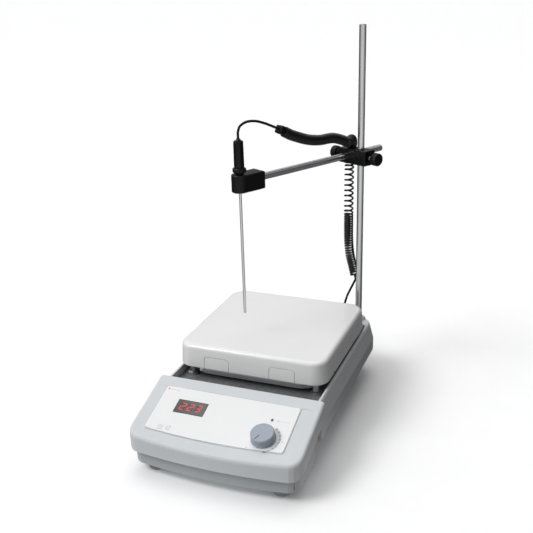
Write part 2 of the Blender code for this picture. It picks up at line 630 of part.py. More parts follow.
smooth(place("status_led", status, SMOKED, panel, (0.0561, 0.0606, 0.0)))
smooth(place("power_led", turned([(0.0012, LED_BASE), (0.0012, LED_BASE + 0.0003),
                                  (0.0007, LED_BASE + 0.0006)], 12),
             LED_RED, panel, (-0.0850, 0.0805, 0.0)))

encoder = place("encoder", box(-0.0070, 0.0070, -0.0070, 0.0070, -0.0156, -0.0050, 0.0006, 1), SHEET,
                panel, (KNOB_X, KNOB_S, 0.0))
carve(encoder, tool("encoder_bush", pipe(0.0035, 0.0022, -0.0060, 0.0026, 16), panel,
                    (KNOB_X, KNOB_S, 0.0)), "UNION")
carve(encoder, tool("encoder_bore", disc(0.0022, -0.0100, 0.0100, segments=16), panel,
                    (KNOB_X, KNOB_S, 0.0)))
knob_axis = frame("knob_axis", (KNOB_X, KNOB_S, 0.0), parent=panel)
knob_low = LABEL_TOP + 2 * CLEARANCE
knob = place("speed_knob", turned([(KNOB_RADIUS, knob_low), (KNOB_RADIUS, knob_low + 0.0015),
                                   (KNOB_RADIUS - 0.0007, KNOB_HEIGHT - 0.0012),
                                   (KNOB_RADIUS - 0.0011, KNOB_HEIGHT - 0.0003),
                                   (KNOB_RADIUS - 0.0020, KNOB_HEIGHT)], 36), KNOB_BLUE, knob_axis)
carve(knob, tool("knob_hollow", disc(0.0100, -0.001, 0.0045, segments=24), knob_axis))
smooth(knob, 30)
place("knob_shaft", disc(0.0018, -0.0090, 0.0045 - CLEARANCE, segments=16), BRASS, knob_axis)

# ------------------------------------------------------------------ rear panel
inlet = place("mains_inlet", box(INLET_X - 0.0136, INLET_X + 0.0136, rear_y - 0.024, rear_y + 0.0004,
                                 REAR_PORT_Z - 0.0098, REAR_PORT_Z + 0.0098, 0.0006, 1),
              BLACK_PLASTIC, origin)
carve(inlet, tool("inlet_flange", box(INLET_X - 0.0170, INLET_X + 0.0170, rear_y + CLEARANCE,
                                      rear_y + 0.0028, REAR_PORT_Z - 0.0125, REAR_PORT_Z + 0.0125,
                                      0.0008, 1), origin), "UNION")
carve(inlet, tool("inlet_well", box(INLET_X - 0.0110, INLET_X + 0.0110, rear_y - 0.014, rear_y + 0.010,
                                    REAR_PORT_Z - 0.0075, REAR_PORT_Z + 0.0075), origin))
switch_body = place("switch_body", box(ROCKER_X - 0.0064, ROCKER_X + 0.0064, rear_y - 0.020,
                                       rear_y + 0.0004, REAR_PORT_Z - 0.0095, REAR_PORT_Z + 0.0095,
                                       0.0006, 1), BLACK_PLASTIC, origin)
carve(switch_body, tool("switch_flange", box(ROCKER_X - 0.0080, ROCKER_X + 0.0080, rear_y + CLEARANCE,
                                             rear_y + 0.0020, REAR_PORT_Z - 0.0112,
                                             REAR_PORT_Z + 0.0112, 0.0006, 1), origin), "UNION")
carve(switch_body, tool("switch_well", box(ROCKER_X - 0.0052, ROCKER_X + 0.0052, rear_y - 0.0075,
                                           rear_y + 0.010, REAR_PORT_Z - 0.0086,
                                           REAR_PORT_Z + 0.0086), origin))
ROCKER_SWING = math.radians(8)
rocker_axis = frame("rocker_axis", (ROCKER_X, rear_y - 0.0010, REAR_PORT_Z), (ROCKER_SWING, 0.0, 0.0),
                    origin)
rocker_shape = profile_solid([(-0.0032, -0.0070), (0.0030, -0.0078), (0.0018, 0.0), (0.0030, 0.0078),
                              (-0.0032, 0.0070)], -0.0048, 0.0048)
place("power_rocker", rocker_shape, BLACK_PLASTIC, rocker_axis)
socket = place("probe_socket", turned([(0.0062, -0.0140), (0.0062, CLEARANCE), (0.0085, CLEARANCE),
                                       (0.0085, 0.0018), (0.0072, 0.0022)], 24, "Y"),
               SHEET, origin, (SOCKET_X, rear_y, SOCKET_Z))
carve(socket, tool("socket_well", disc(0.0048, -0.0080, 0.0100, segments=20, axis="Y"), origin,
                   (SOCKET_X, rear_y, SOCKET_Z)))
smooth(socket)
smooth(place("cord_plug", turned([(0.0044, -0.0060), (0.0044, 0.0026), (0.0065, 0.0026), (0.0065, 0.0170),
                                  (0.0052, 0.0190), (0.0034, 0.0200), (0.0026, PLUG_LENGTH)], 20, "Y"),
             BLACK_PLASTIC, origin, (SOCKET_X, rear_y, SOCKET_Z)))

# ------------------------------------------------------------------ support rod
rod_socket = place("rod_socket", turned([(0.0078, RIM_HEIGHT - 0.020), (0.0078, RIM_HEIGHT + CLEARANCE),
                                         (0.0095, RIM_HEIGHT + CLEARANCE), (0.0095, RIM_HEIGHT + 0.0020),
                                         (0.0085, RIM_HEIGHT + 0.0030)], 24), STEEL, origin,
                   (ROD_X, ROD_Y, 0.0))
carve(rod_socket, tool("rod_socket_bore", disc(ROD_RADIUS + CLEARANCE, RIM_HEIGHT - 0.015,
                                               RIM_HEIGHT + 0.010), origin, (ROD_X, ROD_Y, 0.0)))
smooth(rod_socket)
swivel_axis = frame("swivel_axis", (ROD_X, ROD_Y, 0.0), parent=origin)
smooth(place("support_rod", disc(ROD_RADIUS, RIM_HEIGHT - 0.0147, ROD_TOP, 0.0006, 24), STEEL, swivel_axis))

# ------------------------------------------------------------------ boss head
# local X runs across the arm and local Y along it
boss_frame = frame("boss_frame", (0.0, 0.0, ARM_HEIGHT), (0.0, 0.0, ARM_ANGLE - math.pi / 2), swivel_axis)
boss = place("boss_head", box(BLOCK_LEFT, BLOCK_RIGHT, -BLOCK_HALF, BLOCK_HALF, -BLOCK_HALF, BLOCK_HALF,
                              0.0010, 2), BLACK_METAL, boss_frame)
carve(boss, tool("rod_bore", disc(ROD_RADIUS + CLEARANCE, -0.030, 0.030), boss_frame))
carve(boss, tool("arm_bore", disc(ARM_RADIUS + CLEARANCE, -0.030, 0.030, axis="Y"), boss_frame,
                 (ARM_OFFSET, 0.0, 0.0)))
carve(boss, tool("rod_stud_bore", disc(STUD_RADIUS + CLEARANCE, 0.0, 0.030, segments=16, axis="X"),
                 boss_frame))
carve(boss, tool("arm_stud_bore", disc(STUD_RADIUS + CLEARANCE, -0.030, 0.0, segments=16, axis="X"),
                 boss_frame, (ARM_OFFSET, 0.0, 0.0)))
smooth(boss, 30)


def screw_knob(side):
    """Ribbed hand knob pointing along +X or -X, bored for its stud."""
    solid = turned([(0.0055, 0.0), (0.0055, 0.0022), (SCREW_KNOB_RADIUS - 0.0008, 0.0026),
                    (SCREW_KNOB_RADIUS, 0.0036), (SCREW_KNOB_RADIUS, SCREW_KNOB_LENGTH - 0.0012),
                    (SCREW_KNOB_RADIUS - 0.0012, SCREW_KNOB_LENGTH)], 24, "X")
    if side < 0:
        solid.transform(Matrix.Rotation(math.pi, 4, "Z"))
    return solid


ROD_KNOB_START = BLOCK_RIGHT + 0.0045
rod_screw = frame("rod_screw_axis", (0.0, 0.0, 0.0), parent=boss_frame)
place("rod_screw_stud", disc(STUD_RADIUS, ROD_RADIUS + CLEARANCE, ROD_KNOB_START + 0.008, segments=16,
                             axis="X"), STEEL, rod_screw)
rod_screw_knob = place("rod_screw_knob", screw_knob(1), BLACK_PLASTIC, rod_screw, (ROD_KNOB_START, 0.0, 0.0))
carve(rod_screw_knob, tool("rod_knob_bore", disc(STUD_RADIUS + CLEARANCE, -0.002, 0.0083, segments=16,
                                                 axis="X"), rod_screw, (ROD_KNOB_START, 0.0, 0.0)))
smooth(rod_screw_knob)
ARM_KNOB_START = BLOCK_LEFT - 0.0067
arm_screw = frame("arm_screw_axis", (0.0, 0.0, 0.0), parent=boss_frame)
place("arm_screw_stud", disc(STUD_RADIUS, ARM_KNOB_START - 0.008, ARM_OFFSET - ARM_RADIUS - CLEARANCE,
                             segments=16, axis="X"), STEEL, arm_screw)
arm_screw_knob = place("arm_screw_knob", screw_knob(-1), BLACK_PLASTIC, arm_screw, (ARM_KNOB_START, 0.0, 0.0))
carve(arm_screw_knob, tool("arm_knob_bore", disc(STUD_RADIUS + CLEARANCE, -0.0083, 0.002, segments=16,
                                                 axis="X"), arm_screw, (ARM_KNOB_START, 0.0, 0.0)))
smooth(arm_screw_knob)

# ------------------------------------------------------------------ arm, probe holder, probe
arm_frame = frame("arm_frame", (ARM_OFFSET, 0.0, 0.0), parent=boss_frame)
arm_front = HOLDER_END - 0.016
smooth(place("cross_rod", disc(ARM_RADIUS, arm_front, ARM_REAR, 0.0006, 24, "Y"), STEEL, arm_frame))

holder_frame = frame("holder_frame", (0.0, 0.0, 0.0), parent=arm_frame)
holder_half = HOLDER_WIDTH / 2


def holder_outline(inset):
    """Flat end towards the arm, round nose about the probe."""
    r = holder_half - inset
    points = [(r, HOLDER_END - inset), (-r, HOLDER_END - inset)]
    for i in range(13):
        angle = math.pi + math.pi * i / 12
        points.append((r * math.cos(angle), PROBE_REACH + r * math.sin(angle)))
    return points


holder = place("probe_holder", loft([ring(holder_outline(0.001), HOLDER_LOW),
                                     ring(holder_outline(0.0), HOLDER_LOW + 0.001),
                                     ring(holder_outline(0.0), HOLDER_HIGH - 0.001),
                                     ring(holder_outline(0.001), HOLDER_HIGH)]), BLACK_PLASTIC, holder_frame)
carve(holder, tool("holder_arm_bore", disc(ARM_RADIUS + CLEARANCE, HOLDER_END - 0.0163, HOLDER_END + 0.010,
                                           axis="Y"), holder_frame))
carve(holder, tool("holder_screw_bore", disc(0.0018, -0.030, 0.0, segments=12), holder_frame,
                   (0.0, HOLDER_END - 0.008, 0.0)))
carve(holder, tool("holder_probe_bore", disc(SHEATH_RADIUS + 0.0004, -0.030, 0.030, segments=16),
                   holder_frame, (0.0, PROBE_REACH, 0.0)))
carve(holder, tool("holder_seat", disc(0.0052 + CLEARANCE, HOLDER_HIGH - 0.0050, 0.030), holder_frame,
                   (0.0, PROBE_REACH, 0.0)))
smooth(holder, 30)
place("holder_set_screw", disc(0.0015, HOLDER_LOW + 0.0004, -ARM_RADIUS - CLEARANCE, segments=12), STEEL,
      holder_frame, (0.0, HOLDER_END - 0.008, 0.0))

probe_frame = frame("probe_frame", (0.0, PROBE_REACH, 0.0), parent=holder_frame)
collar_low = HOLDER_HIGH + 0.0019
collar_high = collar_low + 0.0059
handle_top = collar_high + HANDLE_LENGTH
smooth(place("probe_collar", turned([(0.0050, HOLDER_HIGH - 0.0047), (0.0050, collar_low),
                                     (0.0072, collar_low + 0.0004), (0.0083, collar_low + 0.0014),
                                     (0.0083, collar_high - 0.0010), (0.0074, collar_high)], 24),
             BLACK_PLASTIC, probe_frame), 40)
place("probe_handle", turned([(HANDLE_RADIUS, collar_high + CLEARANCE),
                              (HANDLE_RADIUS + 0.0003, collar_high + 0.004),
                              (HANDLE_RADIUS, handle_top - 0.0012), (HANDLE_RADIUS - 0.0012, handle_top)], 8),
      BLACK_PLASTIC, probe_frame, rotation=(0.0, 0.0, math.radians(22.5)))
smooth(place("strain_relief", turned([(0.0036, handle_top + CLEARANCE), (0.0030, handle_top + 0.0012),
                                      (0.0021, handle_top + 0.0026)], 16), BLACK_RUBBER, probe_frame))
sheath_low = SHEATH_TIP - ARM_HEIGHT
smooth(place("probe_sheath", turned([(0.0007, sheath_low), (SHEATH_RADIUS, sheath_low + 0.0013),
                                     (SHEATH_RADIUS, HOLDER_HIGH - 0.0050)], 16), STEEL, probe_frame))

# ------------------------------------------------------------------ cord
# points are local to the arm where the cord follows it
cord_exit_z = handle_top + 0.0029
smooth(place("cord_tie", box(-0.0060, 0.0060, -TIE_HALF_LENGTH, TIE_HALF_LENGTH, -0.0050, 0.0050, 0.0012, 2),
             BLACK_PLASTIC, arm_frame, (0.0, TIE_Y, TIE_Z), (-TIE_DROP, 0.0, 0.0)), 30)


def along_tie(distance):
    """A point on the tie's own axis, which falls towards the boss head."""
    return (0.0, TIE_Y + distance * math.cos(TIE_DROP), TIE_Z - distance * math.sin(TIE_DROP))


tie_reach = TIE_HALF_LENGTH + CLEARANCE
cord("cord_lead", [(0.0, PROBE_REACH, cord_exit_z), (0.0, PROBE_REACH, cord_exit_z + 0.0070),
                   (0.0, PROBE_REACH + 0.0035, cord_exit_z + 0.0135),
                   (0.0, PROBE_REACH + 0.0140, cord_exit_z + 0.0172),
                   (0.0, PROBE_REACH + 0.0285, cord_exit_z + 0.0160),
                   (0.0, PROBE_REACH + 0.0440, cord_exit_z + 0.0108),
                   along_tie(-tie_reach)], CORD_RADIUS, 0.0040, BLACK_RUBBER, arm_frame)


def past_join(distance):
    """A point on the line, boss head frame, where the upper and the hanging coil meet end to end."""
    return Vector(COIL_JOIN) + distance * Vector(COIL_JOIN_RUN).normalized()


def arm_point(spot):
    """A boss head point given in the arm's frame."""
    return (spot[0] - ARM_OFFSET, spot[1], spot[2])


cord("cord_coil_upper", [along_tie(tie_reach), along_tie(tie_reach + 0.012), (0.0, TIE_Y + 0.0259, 0.0400),
                         (0.0, TIE_Y + 0.0464, 0.0330), (0.0, TIE_Y + 0.0676, 0.0292),
                         (0.0, TIE_Y + 0.0896, 0.0284), (0.0, TIE_Y + 0.1060, 0.0240),
                         arm_point(past_join(-0.0120)), arm_point(past_join(-CLEARANCE))],
     COIL_RADIUS, 0.0130, BLACK_RUBBER, arm_frame, 2)


def boss_point(across, along, height):
    """A point of the boss head's frame, given about the support rod's foot."""
    turn = Matrix.Rotation(ARM_ANGLE - math.pi / 2, 3, "Z")
    spot = turn @ Vector((across, along, 0.0))
    return Vector((spot.x, spot.y, ARM_HEIGHT + height))


hang = frame("hang_frame", (ROD_X, ROD_Y, 0.0), parent=origin)
coil_end = Vector((COIL_END_X - ROD_X, rear_y + 0.0190 - ROD_Y, 0.1310))
coil_last = boss_point(-0.0345, 0.0180, -0.1520)
coil_run = (coil_end - coil_last).normalized()
cord("cord_coil_hanging", [boss_point(*past_join(0.0)), boss_point(*past_join(0.0080)),
                           boss_point(-0.0330, 0.0190, 0.0100),
                           boss_point(-0.0376, 0.0192, -0.0050),
                           boss_point(-0.0382, 0.0190, -0.0300),
                           boss_point(-0.0384, 0.0188, -0.0900),
                           boss_point(-0.0376, 0.0184, -0.1300),
                           coil_last, coil_end],
     COIL_RADIUS, 0.0130, BLACK_RUBBER, hang, 2)
plug_end = Vector((SOCKET_X - ROD_X, rear_y + PLUG_LENGTH + CLEARANCE - ROD_Y, SOCKET_Z))
cord("cord_tail", [coil_end + CLEARANCE * coil_run, coil_end + 0.0070 * coil_run,
                   coil_end + Vector((-0.0110, 0.0040, -0.0340)),
                   plug_end + Vector((0.0080, 0.0120, 0.0270)),
                   plug_end + Vector((0.0016, 0.0150, 0.0070)),
                   plug_end + Vector((0.0, 0.0070, 0.0)), plug_end],
     CORD_RADIUS, 0.0040, BLACK_RUBBER, hang)

# ------------------------------------------------------------------ origin under the middle of the whole
bpy.context.view_layer.update()
graph = bpy.context.evaluated_depsgraph_get()
low = Vector((1e9, 1e9, 1e9))
high = -low
for item in bpy.data.objects:
    if item.type != "MESH" or item.hide_render:
        continue
    for corner in item.evaluated_get(graph).data.vertices:
        spot = item.matrix_world @ corner.co
        low = Vector(map(min, low, spot))
        high = Vector(map(max, high, spot))
origin.location = (-(low.x + high.x) / 2, -(low.y + high.y) / 2, -low.z)
bpy.context.view_layer.update()
print("frame shift", tuple(round(v, 6) for v in origin.location))
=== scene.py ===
"""Looks of the heating magnetic stirrer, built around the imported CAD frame."""
import math

import bmesh
import bpy
from mathutils import Matrix, Vector


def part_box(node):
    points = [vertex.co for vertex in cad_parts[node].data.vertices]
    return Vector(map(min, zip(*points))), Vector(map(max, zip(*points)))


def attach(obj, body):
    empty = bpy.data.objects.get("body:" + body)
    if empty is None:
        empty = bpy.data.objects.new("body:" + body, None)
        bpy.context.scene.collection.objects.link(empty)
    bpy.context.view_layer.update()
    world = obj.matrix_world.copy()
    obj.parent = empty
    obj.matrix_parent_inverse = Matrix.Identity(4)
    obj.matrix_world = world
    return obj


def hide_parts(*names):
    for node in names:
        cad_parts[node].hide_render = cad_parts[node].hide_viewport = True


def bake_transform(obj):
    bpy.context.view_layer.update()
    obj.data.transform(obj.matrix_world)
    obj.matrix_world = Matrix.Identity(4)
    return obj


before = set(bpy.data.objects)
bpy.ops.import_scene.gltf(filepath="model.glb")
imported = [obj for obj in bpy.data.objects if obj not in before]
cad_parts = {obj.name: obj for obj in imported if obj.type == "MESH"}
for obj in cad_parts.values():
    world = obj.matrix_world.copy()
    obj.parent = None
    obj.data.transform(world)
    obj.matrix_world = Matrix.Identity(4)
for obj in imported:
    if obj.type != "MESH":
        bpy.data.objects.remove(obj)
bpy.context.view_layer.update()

# ------------------------------------------------------------------ where things are
PLATE_LOW, PLATE_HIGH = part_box("hot_plate")
ROD_LOW, ROD_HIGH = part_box("support_rod")
PLATE_CENTRE = (PLATE_LOW + PLATE_HIGH) / 2
PLATE_SET_BACK = 0.0445
HOUSING_REAR = 0.180
HOUSING = Vector((PLATE_CENTRE.x, PLATE_CENTRE.y - PLATE_SET_BACK, 0.0))
ROD_FOOT = Vector(((ROD_LOW.x + ROD_HIGH.x) / 2, (ROD_LOW.y + ROD_HIGH.y) / 2, 0.0))
PANEL_ANGLE = math.radians(17.6)
ARM_HEIGHT = 0.313
ARM_ANGLE = math.radians(62.8)
ARM_OFFSET = -0.0172
PROBE_REACH = -0.196
CORD_RADIUS = 0.0016
COIL_RADIUS = 0.0070
HOUSING_PLACE = Matrix.Translation(HOUSING)
PANEL_FRONT = (0.0, -0.176, 0.050)
PANEL_PLACE = HOUSING_PLACE @ Matrix.Translation(PANEL_FRONT) @ Matrix.Rotation(PANEL_ANGLE, 4, "X")
BOSS_PLACE = (Matrix.Translation((ROD_FOOT.x, ROD_FOOT.y, ARM_HEIGHT))
              @ Matrix.Rotation(ARM_ANGLE - math.pi / 2, 4, "Z"))
ARM_PLACE = BOSS_PLACE @ Matrix.Translation((ARM_OFFSET, 0.0, 0.0))
KNOB_SPOT = (0.0555, 0.0330, 0.0)
KNOB_PLACE = PANEL_PLACE @ Matrix.Translation(KNOB_SPOT)
PRINT_HEIGHT = 0.00094
SCENE = bpy.context.scene.collection


# ------------------------------------------------------------------ camera, floor, light
def make_camera():
    data = bpy.data.cameras.new("camera")
    data.lens = 53.74
    data.sensor_width = 36.0
    data.shift_x = -0.0057
    data.shift_y = 0.0125
    data.clip_start = 0.01
    data.clip_end = 50.0
    seen_from = bpy.data.objects.new("camera", data)
    SCENE.objects.link(seen_from)
    back = Vector((0.3429, -0.8673, 0.3609)).normalized()
    right = Vector((0.9333, 0.3581, -0.0263))
    right = (right - right.dot(back) * back).normalized()
    up = back.cross(right)
    turn = Matrix((right, up, back)).transposed().to_4x4()
    seen_from.matrix_world = Matrix.Translation((0.34503, -0.87525, 0.5542)) @ turn
    bpy.context.scene.camera = seen_from


def soft_sun(name, comes_from, strength, spread, colour=(1.0, 1.0, 1.0)):
    """Large, far soft box: even over the whole floor."""
    data = bpy.data.lights.new(name, "SUN")
    data.energy = strength
    data.angle = math.radians(spread)
    data.color = colour
    lamp = bpy.data.objects.new(name, data)
    SCENE.objects.link(lamp)
    lamp.rotation_euler = Vector(comes_from).to_track_quat("Z", "Y").to_euler()


def make_studio():
    bpy.context.scene.view_settings.view_transform = "Standard"
    world = bpy.data.worlds.new("studio")
    bpy.context.scene.world = world
    world.use_nodes = True
    tree = world.node_tree
    glow = tree.nodes["Background"]
    place = tree.nodes.new("ShaderNodeTexCoord")
    split = tree.nodes.new("ShaderNodeSeparateXYZ")
    tree.links.new(place.outputs["Generated"], split.inputs["Vector"])
    bands = tree.nodes.new("ShaderNodeValToRGB")
    ramp = bands.color_ramp
    ramp.elements[0].position = 0.0
    ramp.elements[0].color = (0.20, 0.20, 0.21, 1.0)
    ramp.elements[1].position = 1.0
    ramp.elements[1].color = (1.0, 1.0, 1.0, 1.0)
    for spot, level in ((0.45, 0.16), (0.58, 0.24), (0.75, 0.70)):
        step = ramp.elements.new(spot)
        step.color = (level, level, level * 1.02, 1.0)
    lift = tree.nodes.new("ShaderNodeMapRange")
    lift.inputs["From Min"].default_value = -1.0
    lift.inputs["From Max"].default_value = 1.0
    tree.links.new(split.outputs["Z"], lift.inputs["Value"])
    tree.links.new(lift.outputs["Result"], bands.inputs["Fac"])
    tree.links.new(bands.outputs["Color"], glow.inputs["Color"])
    shade = tree.nodes.new("ShaderNodeMapRange")
    shade.inputs["From Min"].default_value = -0.2
    shade.inputs["From Max"].default_value = 0.9
    shade.inputs["To Min"].default_value = 0.95
    shade.inputs["To Max"].default_value = 0.18
    tree.links.new(split.outputs["X"], shade.inputs["Value"])
    tree.links.new(shade.outputs["Result"], glow.inputs["Strength"])
    backdrop = add(tree, "ShaderNodeBackground")
    backdrop.inputs["Color"].default_value = (0.93, 0.93, 0.93, 1.0)
    ray = add(tree, "ShaderNodeLightPath")
    either = add(tree, "ShaderNodeMixShader")
    tree.links.new(ray.outputs["Is Camera Ray"], either.inputs["Fac"])
    tree.links.new(glow.outputs["Background"], either.inputs[1])
    tree.links.new(backdrop.outputs["Background"], either.inputs[2])
    tree.links.new(either.outputs["Shader"], tree.nodes["World Output"].inputs["Surface"])
    soft_sun("key_light", (-0.66, -0.50, 0.95), 1.55, 28.0)
    soft_sun("top_light", (-0.10, 0.30, 1.0), 0.55, 40.0)
    floor_mesh = bmesh.new()
    bmesh.ops.create_grid(floor_mesh, x_segments=4, y_segments=4, size=60.0)
    data = bpy.data.meshes.new("floor")
    floor_mesh.to_mesh(data)
    floor_mesh.free()
    ground = bpy.data.objects.new("floor", data)
    SCENE.objects.link(ground)
    data.materials.append(surface("floor_paper", (0.93, 0.93, 0.93), roughness=0.9, grain=300.0, bump=0.02,
                                  blotch=0.01, wear_and_edge_highlight=0.0))
    shape_floor_light(data.materials[0])


def floor_card(tree, split, bright_side, low, high):
    """A glow of the floor that is bright on one side of the object and dark on the other."""
    turn = add(tree, "ShaderNodeMath", operation="ARCTAN2")
    tree.links.new(split.outputs["X"], turn.inputs[0])
    tree.links.new(split.outputs["Y"], turn.inputs[1])
    shift = add(tree, "ShaderNodeMath", operation="SUBTRACT")
    shift.inputs[1].default_value = math.radians(bright_side)
    tree.links.new(turn.outputs["Value"], shift.inputs[0])
    wave = add(tree, "ShaderNodeMath", operation="COSINE")
    tree.links.new(shift.outputs["Value"], wave.inputs[0])
    level = add(tree, "ShaderNodeMapRange")
    level.inputs["From Min"].default_value = 0.0
    level.inputs["From Max"].default_value = 0.95
    level.inputs["To Min"].default_value = low
    level.inputs["To Max"].default_value = high
    tree.links.new(wave.outputs["Value"], level.inputs["Value"])
    card = add(tree, "ShaderNodeEmission")
    tree.links.new(level.outputs["Result"], card.inputs["Strength"])
    return card


def shape_floor_light(paper):
    """The floor throws light back mostly from the front left, as between a white and a black studio card."""
    tree = paper.node_tree
    place = add(tree, "ShaderNodeTexCoord")
    split = add(tree, "ShaderNodeSeparateXYZ")
    tree.links.new(place.outputs["Object"], split.inputs["Vector"])
    ray = add(tree, "ShaderNodeLightPath")
    seen = tree.nodes["Principled BSDF"].outputs["BSDF"]
    for kind, bright_side, low, high in (("Is Diffuse Ray", -158, 0.10, 0.62),
                                         ("Is Glossy Ray", 166, 0.13, 1.0)):
        card = floor_card(tree, split, bright_side, low, high)
        mix = add(tree, "ShaderNodeMixShader")
        tree.links.new(ray.outputs[kind], mix.inputs["Fac"])
        tree.links.new(seen, mix.inputs[1])
        tree.links.new(card.outputs["Emission"], mix.inputs[2])
        seen = mix.outputs["Shader"]
    tree.links.new(seen, tree.nodes["Material Output"].inputs["Surface"])


# ------------------------------------------------------------------ materials
def add(tree, kind, **values):
    node = tree.nodes.new(kind)
    for key, value in values.items():
        if hasattr(node, key):
            setattr(node, key, value)
        else:
            node.inputs[key.replace("_", " ")].default_value = value
    return node


def scaled(colour, factor):
    return tuple(min(1.0, channel * factor) for channel in colour)


def surface(name, colour, roughness=0.45, metallic=0.0, grain=2200.0, bump=0.12, depth=0.00012, blotch=0.04,
            wear_and_edge_highlight=0.12, stretch=(1.0, 1.0, 1.0), coat=0.0, gloss_change=0.06, dust=0.0, shine=0.5):
    """Procedural surface: fine grain bump, slow colour change, paler convex edges (partly wear, partly a
    painted edge highlight), uneven gloss and settled dust.
    """
    made = bpy.data.materials.new(name)
    made.use_nodes = True
    tree = made.node_tree
    shader = tree.nodes["Principled BSDF"]
    shader.inputs["Metallic"].default_value = metallic
    shader.inputs["Coat Weight"].default_value = coat
    shader.inputs["Coat Roughness"].default_value = 0.12
    shader.inputs["Specular IOR Level"].default_value = shine
    place = add(tree, "ShaderNodeTexCoord")
    shape = add(tree, "ShaderNodeMapping")
    shape.inputs["Scale"].default_value = stretch
    tree.links.new(place.outputs["Object"], shape.inputs["Vector"])
    slow = add(tree, "ShaderNodeTexNoise", Scale=14.0, Detail=4.0, Roughness=0.6)
    tree.links.new(place.outputs["Object"], slow.inputs["Vector"])
    fine = add(tree, "ShaderNodeTexNoise", Scale=grain, Detail=2.0, Roughness=0.5)
    tree.links.new(shape.outputs["Vector"], fine.inputs["Vector"])
    medium = add(tree, "ShaderNodeTexNoise", Scale=grain * 0.11, Detail=5.0, Roughness=0.65)
    tree.links.new(shape.outputs["Vector"], medium.inputs["Vector"])
    base = add(tree, "ShaderNodeValToRGB")
    base.color_ramp.elements[0].position = 0.3
    base.color_ramp.elements[0].color = (*scaled(colour, 1.0 - blotch), 1.0)
    base.color_ramp.elements[1].position = 0.7
    base.color_ramp.elements[1].color = (*scaled(colour, 1.0 + blotch), 1.0)
    tree.links.new(slow.outputs["Fac"], base.inputs["Fac"])
    flecks = add(tree, "ShaderNodeMixRGB", blend_type="MULTIPLY")
    flecks.inputs["Fac"].default_value = min(1.0, blotch * 3.0)
    spots = add(tree, "ShaderNodeValToRGB")
    spots.color_ramp.elements[0].position = 0.35
    spots.color_ramp.elements[0].color = (0.82, 0.82, 0.82, 1.0)
    spots.color_ramp.elements[1].position = 0.6
    spots.color_ramp.elements[1].color = (1.0, 1.0, 1.0, 1.0)
    tree.links.new(medium.outputs["Fac"], spots.inputs["Fac"])
    tree.links.new(base.outputs["Color"], flecks.inputs["Color1"])
    tree.links.new(spots.outputs["Color"], flecks.inputs["Color2"])
    last = flecks
    # Paler convex edges from pointiness: partly wear, partly a painted edge highlight.
    if wear_and_edge_highlight:
        shape_info = add(tree, "ShaderNodeNewGeometry")
        edge = add(tree, "ShaderNodeValToRGB")
        edge.color_ramp.elements[0].position = 0.52
        edge.color_ramp.elements[0].color = (0.0, 0.0, 0.0, 1.0)
        edge.color_ramp.elements[1].position = 0.60
        edge.color_ramp.elements[1].color = (wear_and_edge_highlight, wear_and_edge_highlight, wear_and_edge_highlight, 1.0)
        tree.links.new(shape_info.outputs["Pointiness"], edge.inputs["Fac"])
        worn_and_highlit = add(tree, "ShaderNodeMixRGB", blend_type="ADD")
        worn_and_highlit.inputs["Fac"].default_value = 1.0
        tree.links.new(last.outputs["Color"], worn_and_highlit.inputs["Color1"])
        tree.links.new(edge.outputs["Color"], worn_and_highlit.inputs["Color2"])
        last = worn_and_highlit
    if dust:
        facing = add(tree, "ShaderNodeNewGeometry")
        split = add(tree, "ShaderNodeSeparateXYZ")
        tree.links.new(facing.outputs["Normal"], split.inputs["Vector"])
        lies = add(tree, "ShaderNodeMath", operation="MULTIPLY")
        tree.links.new(split.outputs["Z"], lies.inputs[0])
        tree.links.new(medium.outputs["Fac"], lies.inputs[1])
        level = add(tree, "ShaderNodeMapRange")
        level.inputs["From Min"].default_value = 0.35
        level.inputs["From Max"].default_value = 0.75
        level.inputs["To Max"].default_value = dust
        tree.links.new(lies.outputs["Value"], level.inputs["Value"])
        dusty = add(tree, "ShaderNodeMixRGB")
        dusty.inputs["Color2"].default_value = (0.55, 0.54, 0.52, 1.0)
        tree.links.new(level.outputs["Result"], dusty.inputs["Fac"])
        tree.links.new(last.outputs["Color"], dusty.inputs["Color1"])
        last = dusty
    tree.links.new(last.outputs["Color"], shader.inputs["Base Color"])
    gloss = add(tree, "ShaderNodeMapRange")
    gloss.inputs["To Min"].default_value = max(0.02, roughness - gloss_change)
    gloss.inputs["To Max"].default_value = min(1.0, roughness + gloss_change)
    tree.links.new(medium.outputs["Fac"], gloss.inputs["Value"])
    tree.links.new(gloss.outputs["Result"], shader.inputs["Roughness"])
    relief = add(tree, "ShaderNodeBump", Strength=bump, Distance=depth)
    tree.links.new(fine.outputs["Fac"], relief.inputs["Height"])
    tree.links.new(relief.outputs["Normal"], shader.inputs["Normal"])
    made.diffuse_color = (*colour, 1.0)
    return made


def lit(name, colour, strength):
    """A lit LED segment under smoked plastic."""
    made = surface(name, colour, roughness=0.3, grain=4000.0, bump=0.02, wear_and_edge_highlight=0.0)
    shader = made.node_tree.nodes["Principled BSDF"]
    shader.inputs["Emission Color"].default_value = (*colour, 1.0)
    shader.inputs["Emission Strength"].default_value = strength
    return made


COVER = surface("cover_plastic", (0.56, 0.585, 0.60), roughness=0.5, grain=2600.0, bump=0.22, blotch=0.015,
                wear_and_edge_highlight=0.05, dust=0.05)
PAN = surface("pan_plastic", (0.38, 0.405, 0.42), roughness=0.5, grain=2600.0, bump=0.22, blotch=0.03,
              wear_and_edge_highlight=0.05)
